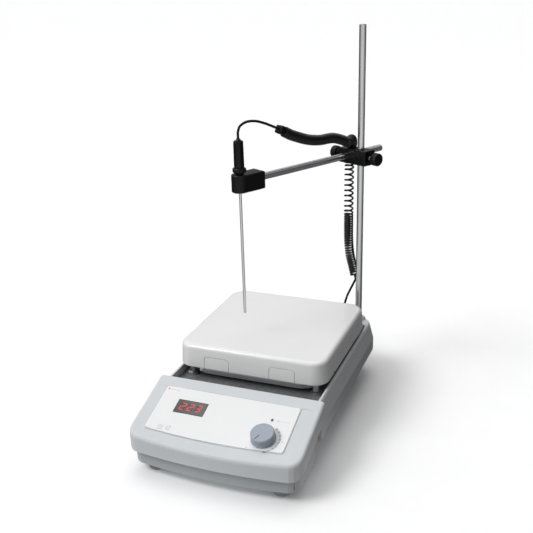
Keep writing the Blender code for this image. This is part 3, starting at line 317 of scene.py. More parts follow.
# Deck colour: partly a dark deck, partly painted shade of the recess under the plate.
DECK_WITH_PAINTED_SHADE = surface("deck_dark_and_painted_shade", (0.075, 0.082, 0.088), roughness=0.42, grain=3000.0, bump=0.25, blotch=0.08,
               wear_and_edge_highlight=0.05, dust=0.25)
ENAMEL = surface("plate_enamel", (0.79, 0.79, 0.785), roughness=0.22, grain=420.0, bump=0.05, depth=0.0002,
                 blotch=0.012, wear_and_edge_highlight=0.04, coat=0.35, gloss_change=0.08)
PRINT_WHITE = surface("label_film", (0.76, 0.765, 0.765), roughness=0.38, grain=5000.0, bump=0.10,
                      blotch=0.01, wear_and_edge_highlight=0.0)
PRINT_GREY = surface("label_print", (0.33, 0.38, 0.43), roughness=0.4, grain=5000.0, bump=0.05, wear_and_edge_highlight=0.0)
PRINT_DARK = surface("label_dark_print", (0.06, 0.065, 0.07), roughness=0.4, grain=5000.0, bump=0.05,
                     wear_and_edge_highlight=0.0)
SMOKED = surface("smoked_window", (0.010, 0.008, 0.009), roughness=0.12, grain=1500.0, bump=0.03, blotch=0.1,
                 wear_and_edge_highlight=0.0, coat=0.6)
DIGIT_RED = lit("lit_segment", (0.62, 0.03, 0.015), 0.75)
DIGIT_OFF = surface("unlit_segment", (0.045, 0.008, 0.008), roughness=0.3, grain=4000.0, bump=0.03, wear_and_edge_highlight=0.0)
LED_OFF = surface("led_lens", (0.05, 0.06, 0.07), roughness=0.15, grain=4000.0, bump=0.02, coat=0.6, wear_and_edge_highlight=0.0)
LED_ON = lit("power_lens", (0.85, 0.10, 0.05), 0.8)
KNOB = surface("knob_plastic", (0.30, 0.345, 0.40), roughness=0.42, grain=3200.0, bump=0.2, blotch=0.03,
               wear_and_edge_highlight=0.06)
STEEL = surface("polished_steel", (0.58, 0.58, 0.59), roughness=0.20, metallic=1.0, grain=900.0, bump=0.06,
                stretch=(1.0, 1.0, 0.06), blotch=0.05, wear_and_edge_highlight=0.0)
# Cross rod: same steel as the rod, but with a brighter colour as a painted highlight for the bright
# reflection along the arm.
ARM_STEEL_PAINTED_BRIGHT = surface("arm_steel_painted_highlight", (0.74, 0.74, 0.75), roughness=0.20, metallic=1.0, grain=1100.0, bump=0.06,
                    blotch=0.05, wear_and_edge_highlight=0.0)
THREAD = surface("plated_thread", (0.58, 0.57, 0.55), roughness=0.28, metallic=1.0, grain=1500.0, bump=0.1,
                 blotch=0.08, wear_and_edge_highlight=0.1)
SHEET = surface("sheet_steel", (0.56, 0.57, 0.59), roughness=0.33, metallic=1.0, grain=700.0, bump=0.12,
                stretch=(0.05, 1.0, 1.0), blotch=0.06, wear_and_edge_highlight=0.0)
ALUMINIUM = surface("aluminium", (0.62, 0.63, 0.64), roughness=0.3, metallic=1.0, grain=900.0, bump=0.1)
MAGNET = surface("nickel", (0.45, 0.45, 0.47), roughness=0.25, metallic=1.0, grain=900.0, bump=0.08)
BLACK = surface("black_moulding", (0.004, 0.004, 0.005), roughness=0.33, grain=2600.0, bump=0.2, blotch=0.12,
                wear_and_edge_highlight=0.0, shine=0.2)
BLACK_METAL = surface("black_coat", (0.004, 0.004, 0.005), roughness=0.28, grain=2000.0, bump=0.2,
                      blotch=0.12, wear_and_edge_highlight=0.0, shine=0.25)
JACKET = surface("cord_jacket", (0.003, 0.003, 0.004), roughness=0.25, grain=3600.0, bump=0.08, blotch=0.1,
                 wear_and_edge_highlight=0.0, shine=0.42)
RUBBER = surface("foot_rubber", (0.20, 0.21, 0.22), roughness=0.8, grain=1800.0, bump=0.4, blotch=0.08,
                 wear_and_edge_highlight=0.03)
CIRCUIT = surface("circuit_resist", (0.015, 0.13, 0.055), roughness=0.3, grain=600.0, bump=0.2, coat=0.4)
WOOL = surface("ceramic_fibre", (0.66, 0.62, 0.54), roughness=0.95, grain=900.0, bump=0.8, depth=0.0005,
               blotch=0.1)
HEATER = surface("oxidised_heater", (0.14, 0.12, 0.11), roughness=0.55, metallic=0.6, grain=700.0, bump=0.3)
COPPER = surface("winding", (0.52, 0.24, 0.12), roughness=0.35, metallic=1.0, grain=500.0, bump=0.5,
                 stretch=(1.0, 1.0, 8.0))
BRASS = surface("brass", (0.62, 0.46, 0.20), roughness=0.25, metallic=1.0, grain=900.0, bump=0.1)

DRESSED = {
    "upper_cover": COVER, "base_pan": PAN, "deck_tray": DECK_WITH_PAINTED_SHADE, "heat_shield": SHEET, "motor_bracket": SHEET,
    "encoder": SHEET, "probe_socket": SHEET, "motor": ALUMINIUM, "magnet_carrier": ALUMINIUM,
    "drive_magnet_north": MAGNET, "drive_magnet_south": MAGNET, "power_board": CIRCUIT,
    "control_board": CIRCUIT,
    "transformer": COPPER, "heating_element": HEATER, "insulation_pad": WOOL, "control_label": PRINT_WHITE,
    "display_window": SMOKED, "display_module": DIGIT_OFF, "status_led": LED_OFF, "power_led": LED_ON,
    "knob_shaft": BRASS, "mains_inlet": BLACK, "switch_body": BLACK, "power_rocker": BLACK,
    "cord_plug": BLACK,
    "probe_holder": BLACK, "probe_collar": BLACK, "probe_handle": BLACK, "cord_tie": BLACK,
    "boss_head": BLACK_METAL, "rod_socket": STEEL, "support_rod": STEEL, "cross_rod": ARM_STEEL_PAINTED_BRIGHT,
    "holder_set_screw": THREAD, "probe_sheath": STEEL, "strain_relief": JACKET,
}
for corner in ("front_left", "front_right", "rear_left", "rear_right"):
    DRESSED["foot_" + corner] = RUBBER
    DRESSED["plate_post_" + corner] = SHEET
for node, skin in DRESSED.items():
    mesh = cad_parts[node].data
    mesh.materials.clear()
    mesh.materials.append(skin)


# ------------------------------------------------------------------ geometry helpers
def finish_mesh(name, mesh_data, skin, place=None, smooth_angle=35.0):
    """Turn a bmesh into an object, moved to its place in the frame."""
    bmesh.ops.recalc_face_normals(mesh_data, faces=mesh_data.faces[:])
    if mesh_data.calc_volume(signed=True) < 0:
        bmesh.ops.reverse_faces(mesh_data, faces=mesh_data.faces[:])
    if place is not None:
        mesh_data.transform(place)
    data = bpy.data.meshes.new(name)
    mesh_data.to_mesh(data)
    mesh_data.free()
    for polygon in data.polygons:
        polygon.use_smooth = True
    data.set_sharp_from_angle(angle=math.radians(smooth_angle))
    data.materials.append(skin)
    made = bpy.data.objects.new(name, data)
    SCENE.objects.link(made)
    return made


def put(made, body, slot, *stands_for):
    """Ride on a body and hide the CAD nodes it stands for; the finish name given as slot is not used."""
    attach(made, body)
    if stands_for:
        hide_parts(*stands_for)
    return made


def add_loft(mesh_data, rings, closed_ring=False):
    """Faces between rings of equal point count; capped, or joined back to the first ring."""
    loops = [[mesh_data.verts.new(point) for point in ring] for ring in rings]
    count = len(loops[0])
    pairs = list(zip(loops, loops[1:]))
    if closed_ring:
        pairs.append((loops[-1], loops[0]))
    for lower, upper in pairs:
        for i in range(count):
            j = (i + 1) % count
            mesh_data.faces.new((lower[i], lower[j], upper[j], upper[i]))
    if not closed_ring:
        mesh_data.faces.new(loops[0])
        mesh_data.faces.new(list(reversed(loops[-1])))
    return mesh_data


def prism(mesh_data, outline, low, high):
    """Upright prism over a flat outline."""
    return add_loft(mesh_data, [[(x, y, low) for x, y in outline], [(x, y, high) for x, y in outline]])


def pour_into(whole, part):
    """Add one bmesh to another and free it."""
    spare = bpy.data.meshes.new("spare")
    part.to_mesh(spare)
    part.free()
    whole.from_mesh(spare)
    bpy.data.meshes.remove(spare)


def ribbon(mesh_data, line, width, low, high):
    """A strip of even width along an open flat line."""
    left, right = [], []
    for i, point in enumerate(line):
        before = Vector(line[max(i - 1, 0)])
        after = Vector(line[min(i + 1, len(line) - 1)])
        run = (after - before).normalized()
        side = Vector((-run.y, run.x)) * width / 2
        left.append(tuple(Vector(point) + side))
        right.append(tuple(Vector(point) - side))
    return prism(mesh_data, left + list(reversed(right)), low, high)


def arc_line(cx, cy, radius, start, end, steps):
    """Points along an arc, degrees from +X."""
    spots = []
    for i in range(steps + 1):
        angle = math.radians(start + (end - start) * i / steps)
        spots.append((cx + radius * math.cos(angle), cy + radius * math.sin(angle)))
    return spots


def revolve(mesh_data, profile, segments=32, wobble=None):
    """Solid of revolution about Z; wobble(angle, radius, height) may change the radius."""
    rings = []
    for radius, height in profile:
        ring = []
        for i in range(segments):
            angle = 2 * math.pi * i / segments
            r = wobble(angle, radius, height) if wobble else radius
            ring.append((r * math.cos(angle), r * math.sin(angle), height))
        rings.append(ring)
    return add_loft(mesh_data, rings)


def block(mesh_data, x0, x1, y0, y1, z0, z1, bevel=0.0):
    """A block with softened edges."""
    verts = bmesh.ops.create_cube(mesh_data, size=1.0)["verts"]
    bmesh.ops.scale(mesh_data, vec=(x1 - x0, y1 - y0, z1 - z0), verts=verts)
    bmesh.ops.translate(mesh_data, vec=((x0 + x1) / 2, (y0 + y1) / 2, (z0 + z1) / 2), verts=verts)
    if bevel:
        edges = list({edge for vert in verts for edge in vert.link_edges})
        bmesh.ops.bevel(mesh_data, geom=edges, offset=bevel, segments=2, profile=0.5, affect="EDGES",
                        clamp_overlap=True)
    return mesh_data


def smooth_line(points, spacing):
    """Evenly spaced points along a smooth curve; the first and last stretches stay straight."""
    inner = [Vector(p) for p in points[1:-1]]
    padded = [2 * inner[0] - inner[1]] + inner + [2 * inner[-1] - inner[-2]]
    fine = [Vector(points[0]).lerp(inner[0], i / 24) for i in range(24)]
    for k in range(1, len(padded) - 2):
        p0, p1, p2, p3 = padded[k - 1:k + 3]
        for i in range(24):
            t = i / 24
            fine.append(0.5 * (2 * p1 + (p2 - p0) * t + (2 * p0 - 5 * p1 + 4 * p2 - p3) * t * t
                               + (3 * p1 - p0 - 3 * p2 + p3) * t ** 3))
    fine += [inner[-1].lerp(Vector(points[-1]), i / 24) for i in range(25)]
    lengths = [0.0]
    for first, second in zip(fine, fine[1:]):
        lengths.append(lengths[-1] + (second - first).length)
    count = max(4, round(lengths[-1] / spacing))
    result, k = [], 0
    for i in range(count + 1):
        wanted = lengths[-1] * i / count
        while k < len(lengths) - 2 and lengths[k + 1] < wanted:
            k += 1
        share = (wanted - lengths[k]) / max(lengths[k + 1] - lengths[k], 1e-9)
        result.append(fine[k].lerp(fine[k + 1], share))
    return result


def line_length(points):
    return sum((b - a).length for a, b in zip(points, points[1:]))


def tube(name, points, radius, skin, sides=12):
    """Closed round tube along points, its section carried along without twist."""
    mesh_data = bmesh.new()
    run = (points[1] - points[0]).normalized()
    side = run.orthogonal().normalized()
    rings = []
    for i, point in enumerate(points):
        before = points[max(i - 1, 0)]
        after = points[min(i + 1, len(points) - 1)]
        new_run = (after - before).normalized()
        side = (side - side.dot(new_run) * new_run).normalized()
        other = new_run.cross(side)
        rings.append([point + radius * (math.cos(2 * math.pi * k / sides) * side
                                        + math.sin(2 * math.pi * k / sides) * other) for k in range(sides)])
    add_loft(mesh_data, rings)
    return finish_mesh(name, mesh_data, skin, smooth_angle=60.0)


def coil_along(core, radius, pitch_at, start_angle=0.0, per_turn=14):
    """A helix wound round a core line; pitch_at(point) gives the distance between turns."""
    run = (core[1] - core[0]).normalized()
    side = run.orthogonal().normalized()
    total = line_length(core)
    lengths = [0.0]
    for a, b in zip(core, core[1:]):
        lengths.append(lengths[-1] + (b - a).length)
    frames = []
    for i, point in enumerate(core):
        before = core[max(i - 1, 0)]
        after = core[min(i + 1, len(core) - 1)]
        new_run = (after - before).normalized()
        side = (side - side.dot(new_run) * new_run).normalized()
        frames.append((point, side.copy(), new_run.cross(side)))
    wound, travelled, angle, k = [], 0.0, start_angle, 0
    while travelled < total:
        while k < len(lengths) - 2 and lengths[k + 1] < travelled:
            k += 1
        share = (travelled - lengths[k]) / max(lengths[k + 1] - lengths[k], 1e-9)
        centre = frames[k][0].lerp(frames[k + 1][0], share)
        one = frames[k][1].lerp(frames[k + 1][1], share).normalized()
        two = frames[k][2].lerp(frames[k + 1][2], share).normalized()
        wound.append(centre + radius * (math.cos(angle) * one + math.sin(angle) * two))
        angle += 2 * math.pi / per_turn
        travelled += pitch_at(centre) / per_turn
    return wound


def placed(place, points):
    return [place @ Vector(point) for point in points]




make_camera()
make_studio()

# ------------------------------------------------------------------ hot plate with its slit skirt tabs
SKIRT_LOW = PLATE_LOW.z - 0.001
SLIT_TOP = PLATE_LOW.z + 0.0165
SLIT_HALF = 0.0165
SLIT_CORNER = 0.0042
SLIT_WIDTH = 0.0006
SLIT_DEPTH = 0.0022
TAB_OFFSET = 0.0435
PLATE_CORNER = 0.020
PLATE_EDGE_ROUND = 0.0055
SKIRT_TAPER = 0.0014
SHEET_TURN_IN = 0.0034
RIVET_BACKS = (-0.058, 0.0285)
RIVET_RISE = 0.0028


def slit_line(middle):
    """An inverted U: up one side, across the top, down the other."""
    line = [(middle - SLIT_HALF, SKIRT_LOW)]
    line += arc_line(middle - SLIT_HALF + SLIT_CORNER, SLIT_TOP - SLIT_CORNER, SLIT_CORNER, 180, 90, 6)
    line += arc_line(middle + SLIT_HALF - SLIT_CORNER, SLIT_TOP - SLIT_CORNER, SLIT_CORNER, 90, 0, 6)
    line.append((middle + SLIT_HALF, SKIRT_LOW))
    return line


def plate_level(inset, height):
    """One level of the plate's outline, corners rounded."""
    w = (PLATE_HIGH.x - PLATE_LOW.x) / 2 - inset
    d = (PLATE_HIGH.y - PLATE_LOW.y) / 2 - inset
    r = max(PLATE_CORNER - 0.6 * inset, 0.003)
    line = []
    for cx, cy, start in ((w - r, d - r, 0), (r - w, d - r, 90), (r - w, r - d, 180), (w - r, r - d, 270)):
        line += [(x, y, height) for x, y in arc_line(cx, cy, r, start, start + 90, 12)]
    return line


def make_hot_plate():
    low, high, edge = PLATE_LOW.z, PLATE_HIGH.z, PLATE_EDGE_ROUND
    rings = [plate_level(0.0050, high - 0.008), plate_level(0.0046, high - 0.0088),
             plate_level(SHEET_TURN_IN + 0.0002, low + 0.0006), plate_level(SHEET_TURN_IN, low),
             plate_level(0.0008, low), plate_level(0.0002, low + 0.0003), plate_level(0.0, low + 0.0008),
             plate_level(0.0001, low + 0.0018), plate_level(SKIRT_TAPER - 0.0001, high - edge - 0.001)]
    for i in range(9):
        angle = math.radians(90 * i / 8)
        rings.append(plate_level(SKIRT_TAPER + edge * (1 - math.cos(angle)),
                                 high - edge * (1 - math.sin(angle))))
    rings += [plate_level(SKIRT_TAPER + edge + 0.0012, high), plate_level(0.060, high - 0.00004)]
    solid = bmesh.new()
    add_loft(solid, rings)
    middle = Matrix.Translation((PLATE_CENTRE.x, PLATE_CENTRE.y, 0.0))
    plate = finish_mesh("hot_plate_slit", solid, ENAMEL, middle, 32.0)
    cutter = bmesh.new()
    half_depth = (PLATE_HIGH.y - PLATE_LOW.y) / 2
    half_width = (PLATE_HIGH.x - PLATE_LOW.x) / 2
    for quarter in range(4):
        reach = half_depth if quarter % 2 == 0 else half_width
        for side in (-1, 1):
            piece = bmesh.new()
            ribbon(piece, slit_line(side * TAB_OFFSET), SLIT_WIDTH, -reach - 0.002, -reach + SLIT_DEPTH)
            piece.transform(Matrix(((1, 0, 0, 0), (0, 0, 1, 0), (0, 1, 0, 0), (0, 0, 0, 1))))
            piece.transform(middle @ Matrix.Rotation(quarter * math.pi / 2, 4, "Z"))
            bmesh.ops.recalc_face_normals(piece, faces=piece.faces[:])
            if piece.calc_volume(signed=True) < 0:
                bmesh.ops.reverse_faces(piece, faces=piece.faces[:])
            pour_into(cutter, piece)
    data = bpy.data.meshes.new("slit_cutter")
    cutter.to_mesh(data)
    cutter.free()
    knife = bpy.data.objects.new("slit_cutter", data)
    SCENE.objects.link(knife)
    cut = plate.modifiers.new("slits", "BOOLEAN")
    cut.operation = "DIFFERENCE"
    cut.solver = "EXACT"
    cut.object = knife
    bpy.context.view_layer.update()
    shaped = bpy.data.meshes.new_from_object(plate.evaluated_get(bpy.context.evaluated_depsgraph_get()))
    plate.modifiers.clear()
    plate.data = shaped
    bpy.data.objects.remove(knife)
    shaped.materials.clear()
    shaped.materials.append(ENAMEL)
    for polygon in shaped.polygons:
        polygon.material_index = 0
        polygon.use_smooth = max(abs(part) for part in polygon.normal) < 0.990
    shaped.set_sharp_from_angle(angle=math.radians(32))
    put(plate, "base", "white_enamel", "hot_plate")
    # small dark rivets at the lower front corner of each side tab
    rivets = bmesh.new()
    for side in (-1, 1):
        for back in RIVET_BACKS:
            spot = Matrix.Translation((PLATE_CENTRE.x + side * half_width, PLATE_CENTRE.y + back,
                                       PLATE_LOW.z + RIVET_RISE))
            dot = bmesh.new()
            revolve(dot, [(0.0008, -0.0006), (0.0008, 0.0001), (0.0005, 0.0003)], 12)
            dot.transform(spot @ Matrix.Rotation(side * math.pi / 2, 4, "Y"))
            pour_into(rivets, dot)
    put(finish_mesh("skirt_rivets", rivets, BLACK_METAL), "base", "black_metal")


make_hot_plate()


# ------------------------------------------------------------------ printed label
def print_on_panel(name, shapes, skin, place=PANEL_PLACE, lift=0.0):
    """Thin ink shapes on the label: each is an open line with a width, or a filled outline."""
    ink = bmesh.new()
    for line, width in shapes:
        low, high = PRINT_HEIGHT + lift - 0.00002, PRINT_HEIGHT + lift + 0.00004
        if width:
            ribbon(ink, line, width, low, high)
        else:
            prism(ink, line, low, high)
    return put(finish_mesh(name, ink, skin, place), "base", "label_white")


LABEL_LEFT, LABEL_RIGHT = -0.0900, 0.0840
LABEL_LOW, LABEL_HIGH = 0.0175, 0.0860
LABEL_CORNER = 0.004
LABEL_BOW = 0.0045


def label_edge(inset):
    """The label's outline, its front edge bowed, from the CAD's sizes."""
    x0, x1 = LABEL_LEFT + inset, LABEL_RIGHT - inset
    s0, s1 = LABEL_LOW + inset, LABEL_HIGH - inset
    radius, bow = LABEL_CORNER, LABEL_BOW
    middle, half = (x0 + x1) / 2, (x1 - x0) / 2

    def front(x):
        return s0 - bow + bow * ((x - middle) / half) ** 2

    line = []
    for i in range(17):
        x = x0 + radius + (x1 - x0 - 2 * radius) * i / 16
        line.append((x, front(x)))
    line += arc_line(x1 - radius, front(x1 - radius) + radius, radius, -60, 0, 4)
    line += arc_line(x1 - radius, s1 - radius, radius, 0, 90, 5)
    line += arc_line(x0 + radius, s1 - radius, radius, 90, 180, 5)
    line += arc_line(x0 + radius, front(x0 + radius) + radius, radius, 180, 240, 4)
    line.append(line[0])
    return line


print_on_panel("label_border", [(label_edge(0.0006), 0.0006)], PRINT_GREY)
DIAL_X, DIAL_S = 0.0555, 0.0330
scale_arcs = []
for i in range(9):
    start = 62 - i * 15.5
    scale_arcs.append((arc_line(DIAL_X, DIAL_S, 0.0188, start, start - 12.5, 5), 0.0030 - 0.00022 * i))
print_on_panel("dial_scale", scale_arcs, PRINT_GREY)
marks = []
for i in range(3):
    angle = math.radians(-132 + i * 132)
    run = Vector((math.cos(angle), math.sin(angle)))
    middle = Vector((DIAL_X, DIAL_S))
    marks.append(([tuple(middle + run * 0.0212), tuple(middle + run * 0.0232)], 0.0006))
marks.append((arc_line(0.0640, 0.0606, 0.0011, 0, 360, 16), 0.00035))
for i in range(4):
    marks.append(([(-0.0815 + i * 0.0032, 0.0803), (-0.0797 + i * 0.0032, 0.0803)], 0.0007))
for i in range(5):
    marks.append(([(0.0665 + i * 0.0022, 0.0606), (0.0677 + i * 0.0022, 0.0606)], 0.0005))
print_on_panel("label_marks", marks, PRINT_GREY)
heat_waves = []
for i in range(3):
    x = -0.0722 + i * 0.0024
    heat_waves.append(([(x + 0.0005 * math.sin(k * 1.05), 0.0205 + k * 0.00042) for k in range(13)], 0.00035))
heat_waves.append(([(-0.0738, 0.0192), (-0.0658, 0.0192)], 0.00045))
heat_waves.append((arc_line(-0.0590, 0.0225, 0.0030, 20, 320, 18), 0.00040))
heat_waves.append(([(-0.0622, 0.0213), (-0.0590, 0.0225), (-0.0566, 0.0240)], 0.00040))
print_on_panel("label_symbols", heat_waves, PRINT_GREY)

# ------------------------------------------------------------------ display digits
DISPLAY_X, DISPLAY_S = -0.0458, 0.0572
DIGIT_SLANT = 0.17
SEGMENTS = {"a": (0, 2, 1, 2), "b": (1, 1, 1, 2), "c": (1, 0, 1, 1), "d": (0, 0, 1, 0), "e": (0, 0, 0, 1),
            "f": (0, 1, 0, 2), "g": (0, 1, 1, 1)}
SHOWN = ("abged", "abged", "abgcd")
DIGIT_WIDTH, DIGIT_HALF, DIGIT_PITCH, DIGIT_STROKE = 0.0056, 0.0050, 0.0102, 0.00105


def segment_outline(centre_x, corners):
    """A pointed bar between two corners of a digit's grid, slanted to the right."""
    x0, y0, x1, y1 = corners
    start = Vector((centre_x + (x0 - 0.5) * DIGIT_WIDTH, DISPLAY_S + (y0 - 1) * DIGIT_HALF))
    end = Vector((centre_x + (x1 - 0.5) * DIGIT_WIDTH, DISPLAY_S + (y1 - 1) * DIGIT_HALF))
    run = (end - start).normalized()
    side = Vector((-run.y, run.x)) * DIGIT_STROKE / 2
    start += run * DIGIT_STROKE * 0.22
    end -= run * DIGIT_STROKE * 0.22
    tip = run * DIGIT_STROKE * 0.45
    outline = [start, start + tip - side, end - tip - side, end, end - tip + side, start + tip + side]
    return [(p.x + (p.y - DISPLAY_S) * DIGIT_SLANT, p.y) for p in outline]


window_top = 0.00125
bright, dim = [], []
for place_number, letters in enumerate(SHOWN):
    centre_x = DISPLAY_X + (place_number - 1) * DIGIT_PITCH
    for letter, corners in SEGMENTS.items():
        target = bright if letter in letters else dim
        target.append((segment_outline(centre_x, corners), 0.0))
print_on_panel("display_digits", bright, DIGIT_RED, lift=window_top - PRINT_HEIGHT)
print_on_panel("display_ghosts", dim, DIGIT_OFF, lift=window_top - PRINT_HEIGHT - 0.00002)

# ------------------------------------------------------------------ knob
KNOB_LOW_HEIGHT, KNOB_TOP = 0.0015, 0.0115


def knob_grip(angle, radius, height):
    """Fine flutes round the knob's side, none on its face."""
    share = min(1.0, max(0.0, (radius - 0.0128) / 0.0010))
    return radius - 0.00016 * share * (0.5 + 0.5 * math.cos(48 * angle))


knob_shape = bmesh.new()
revolve(knob_shape, [(0.0100, KNOB_LOW_HEIGHT + 0.0002), (0.0143, KNOB_LOW_HEIGHT),
                     (0.0146, KNOB_LOW_HEIGHT + 0.0003), (0.0146, KNOB_LOW_HEIGHT + 0.0013),
                     (0.0140, KNOB_LOW_HEIGHT + 0.0017), (0.01395, 0.0100),
                     (0.0137, 0.0107), (0.0132, 0.0112), (0.0126, KNOB_TOP), (0.0100, KNOB_TOP - 0.0001),
                     (0.0040, KNOB_TOP - 0.0002), (0.0004, KNOB_TOP - 0.0002)], 192, knob_grip)
put(finish_mesh("knob_cap", knob_shape, KNOB, KNOB_PLACE, 28.0), "knob", "knob_blue_grey", "speed_knob")
pointer = bmesh.new()
ribbon(pointer, [(0.0, -0.0128), (0.0, -0.0046)], 0.0008, KNOB_TOP - 0.0003, KNOB_TOP + 0.00006)
pointer_turn = Matrix.Rotation(math.radians(-26), 4, "Z")
put(finish_mesh("knob_pointer", pointer, PRINT_DARK, KNOB_PLACE @ pointer_turn), "knob", "black_plastic")


# ------------------------------------------------------------------ clamp screws
def lobes(angle, radius, height):
    """Knurled rim of a clamp grip."""
    share = 1.0 if radius > 0.0080 else 0.0
    return radius - 0.00045 * share * (0.5 + 0.5 * math.cos(24 * angle))


def make_grip(name, start, side, body, node):
    shape = bmesh.new()
    revolve(shape, [(0.0054, 0.0), (0.0055, 0.0020), (0.0076, 0.0025), (0.0083, 0.0031), (0.0085, 0.0037),
                    (0.0085, 0.0100), (0.0082, 0.0108), (0.0074, 0.0114), (0.0050, 0.0115), (0.0046, 0.0110),
                    (0.0006, 0.0110)], 144, lobes)
    turn = Matrix.Rotation(side * math.pi / 2, 4, "Y")
    place = BOSS_PLACE @ Matrix.Translation((start, 0.0, 0.0)) @ turn
    put(finish_mesh(name, shape, BLACK, place, 40.0), body, "black_plastic", node)


def make_stud(name, start, end, body, node):
    """Threaded stud: turns of a thread as fine rings round a core."""
    pitch, outer, root = 0.0008, 0.0025, 0.00212
    count = int((end - start) / pitch)
    profile = [(root, 0.0)]
    for i in range(count):
        profile += [(root, pitch * (i + 0.15)), (outer, pitch * (i + 0.45)), (outer, pitch * (i + 0.60)),
                    (root, pitch * (i + 0.90))]
    profile.append((root, end - start))
    shape = bmesh.new()
    revolve(shape, profile, 24)
    place = BOSS_PLACE @ Matrix.Translation((start, 0.0, 0.0)) @ Matrix.Rotation(math.pi / 2, 4, "Y")
    put(finish_mesh(name, shape, THREAD, place, 30.0), body, "polished_steel", node)


make_grip("rod_clamp_grip", 0.0202, 1, "rod_screw_grip", "rod_screw_knob")
make_grip("arm_clamp_grip", -0.0385, -1, "arm_screw_grip", "arm_screw_knob")
make_stud("rod_clamp_thread", 0.0048, 0.0280, "rod_screw_shank", "rod_screw_stud")
make_stud("arm_clamp_thread", -0.0463, -0.0220, "arm_screw_shank", "arm_screw_stud")

# ------------------------------------------------------------------ curly cord
HANDLE_TOP = 0.0095 + 0.0019 + 0.0059 + 0.0326
CORD_EXIT = HANDLE_TOP + 0.0029
TIE_Y, TIE_Z, TIE_DROP = -0.1275, 0.0523, math.radians(28)
TIE_REACH = 0.0048
COIL_JOIN, COIL_JOIN_RUN = Vector((-0.0205, 0.0010, 0.0188)), Vector((-0.45, 0.89, 0.02)).normalized()
GAP = 0.0003
WIRE_RADIUS = 0.0013
COIL_MIDDLE = COIL_RADIUS - WIRE_RADIUS
CLOSE_PITCH = 0.0036
OPEN_PITCH = 0.0076
OPEN_HIGH, OPEN_LOW = 0.296, 0.219
OPENING_RUN = 0.012
SPLIT_RISE = 0.02
SOCKET_SPOT = (0.040, 0.056)
COIL_END = (0.0658, 0.0190, 0.1310)
PLUG_REACH = 0.0273


def along_tie(distance):
    return (0.0, TIE_Y + distance * math.cos(TIE_DROP), TIE_Z - distance * math.sin(TIE_DROP))


def past_join(distance):
    return COIL_JOIN + distance * COIL_JOIN_RUN


def arm_point(spot):
    return (spot[0] - ARM_OFFSET, spot[1], spot[2])


lead_line = placed(ARM_PLACE, smooth_line(
    [(0.0, PROBE_REACH, CORD_EXIT), (0.0, PROBE_REACH, CORD_EXIT + 0.0070),
     (0.0, PROBE_REACH + 0.0035, CORD_EXIT + 0.0135), (0.0, PROBE_REACH + 0.0140, CORD_EXIT + 0.0172),
     (0.0, PROBE_REACH + 0.0285, CORD_EXIT + 0.0160), (0.0, PROBE_REACH + 0.0440, CORD_EXIT + 0.0108),
     along_tie(-TIE_REACH)], 0.0020))
split = len(lead_line) // 2
near_lead, far_lead = lead_line[:split + 1], lead_line[split:]
upper_core = placed(ARM_PLACE, smooth_line(
    [along_tie(TIE_REACH), along_tie(TIE_REACH + 0.012), (0.0, TIE_Y + 0.0259, 0.0400),
     (0.0, TIE_Y + 0.0464, 0.0330), (0.0, TIE_Y + 0.0676, 0.0292), (0.0, TIE_Y + 0.0896, 0.0284),
     (0.0, TIE_Y + 0.1060, 0.0240), arm_point(past_join(-0.0120)), arm_point(past_join(-GAP))], 0.0030))
rear_y = HOUSING.y + HOUSING_REAR
coil_end = Vector((HOUSING.x + COIL_END[0], rear_y + COIL_END[1], COIL_END[2]))
coil_last = BOSS_PLACE @ Vector((-0.0345, 0.0180, -0.1520))
coil_run = (coil_end - coil_last).normalized()
hanging_core = smooth_line(
    placed(BOSS_PLACE, [past_join(0.0), past_join(0.0080), (-0.0330, 0.0190, 0.0100),
                        (-0.0376, 0.0192, -0.0050), (-0.0382, 0.0190, -0.0300),
                        (-0.0384, 0.0188, -0.0900), (-0.0376, 0.0184, -0.1300)])
    + [coil_last, coil_end], 0.0030)
plug_end = Vector((HOUSING.x + SOCKET_SPOT[0], rear_y + PLUG_REACH, SOCKET_SPOT[1]))
tail_line = smooth_line([coil_end + GAP * coil_run, coil_end + 0.0070 * coil_run,
                         coil_end + Vector((-0.0110, 0.0040, -0.0340)),
                         plug_end + Vector((0.0080, 0.0120, 0.0270)),
                         plug_end + Vector((0.0016, 0.0150, 0.0070)), plug_end + Vector((0.0, 0.0070, 0.0)),
                         plug_end], 0.0022)


def hanging_pitch(spot):
    """Turns stand apart where the coil's own weight stretches it, and close up below."""
    if OPEN_LOW < spot.z < OPEN_HIGH:
        edge = min(spot.z - OPEN_LOW, OPEN_HIGH - spot.z) / OPENING_RUN
        return CLOSE_PITCH + (OPEN_PITCH - CLOSE_PITCH) * min(1.0, edge)
    return CLOSE_PITCH


upper_coil = coil_along(upper_core, COIL_MIDDLE, lambda spot: CLOSE_PITCH)
hanging_coil = coil_along(hanging_core, COIL_MIDDLE, hanging_pitch)
high_part = [i for i, spot in enumerate(hanging_coil) if spot.z > OPEN_LOW + SPLIT_RISE]
cut_at = high_part[-1]
high_coil, low_coil = hanging_coil[:cut_at + 1], hanging_coil[cut_at:]


def add_cord(name, line, body_a, body_b, node, radius=CORD_RADIUS):
    """One stretch of the probe's cord: it rides on body_a when body_b is None, otherwise it stays fixed in
    the frame.
    """
    made = tube(name, line, radius, JACKET, 10)
    if body_b is None:
        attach(made, body_a)
    else:
        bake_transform(made)
    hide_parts(node)


add_cord("lead_near", near_lead, "probe", "holder", "cord_lead")
add_cord("lead_far", far_lead, "holder", "arm", "cord_lead")
add_cord("coil_upper", upper_coil, "arm", "boss",
         "cord_coil_upper", radius=WIRE_RADIUS)
add_cord("coil_high", high_coil, "boss", "rod",
         "cord_coil_hanging", radius=WIRE_RADIUS)
add_cord("coil_low", low_coil, "rod", "base",
         "cord_coil_hanging", radius=WIRE_RADIUS)
add_cord("cord_drop", tail_line, "base", None, "cord_tail")


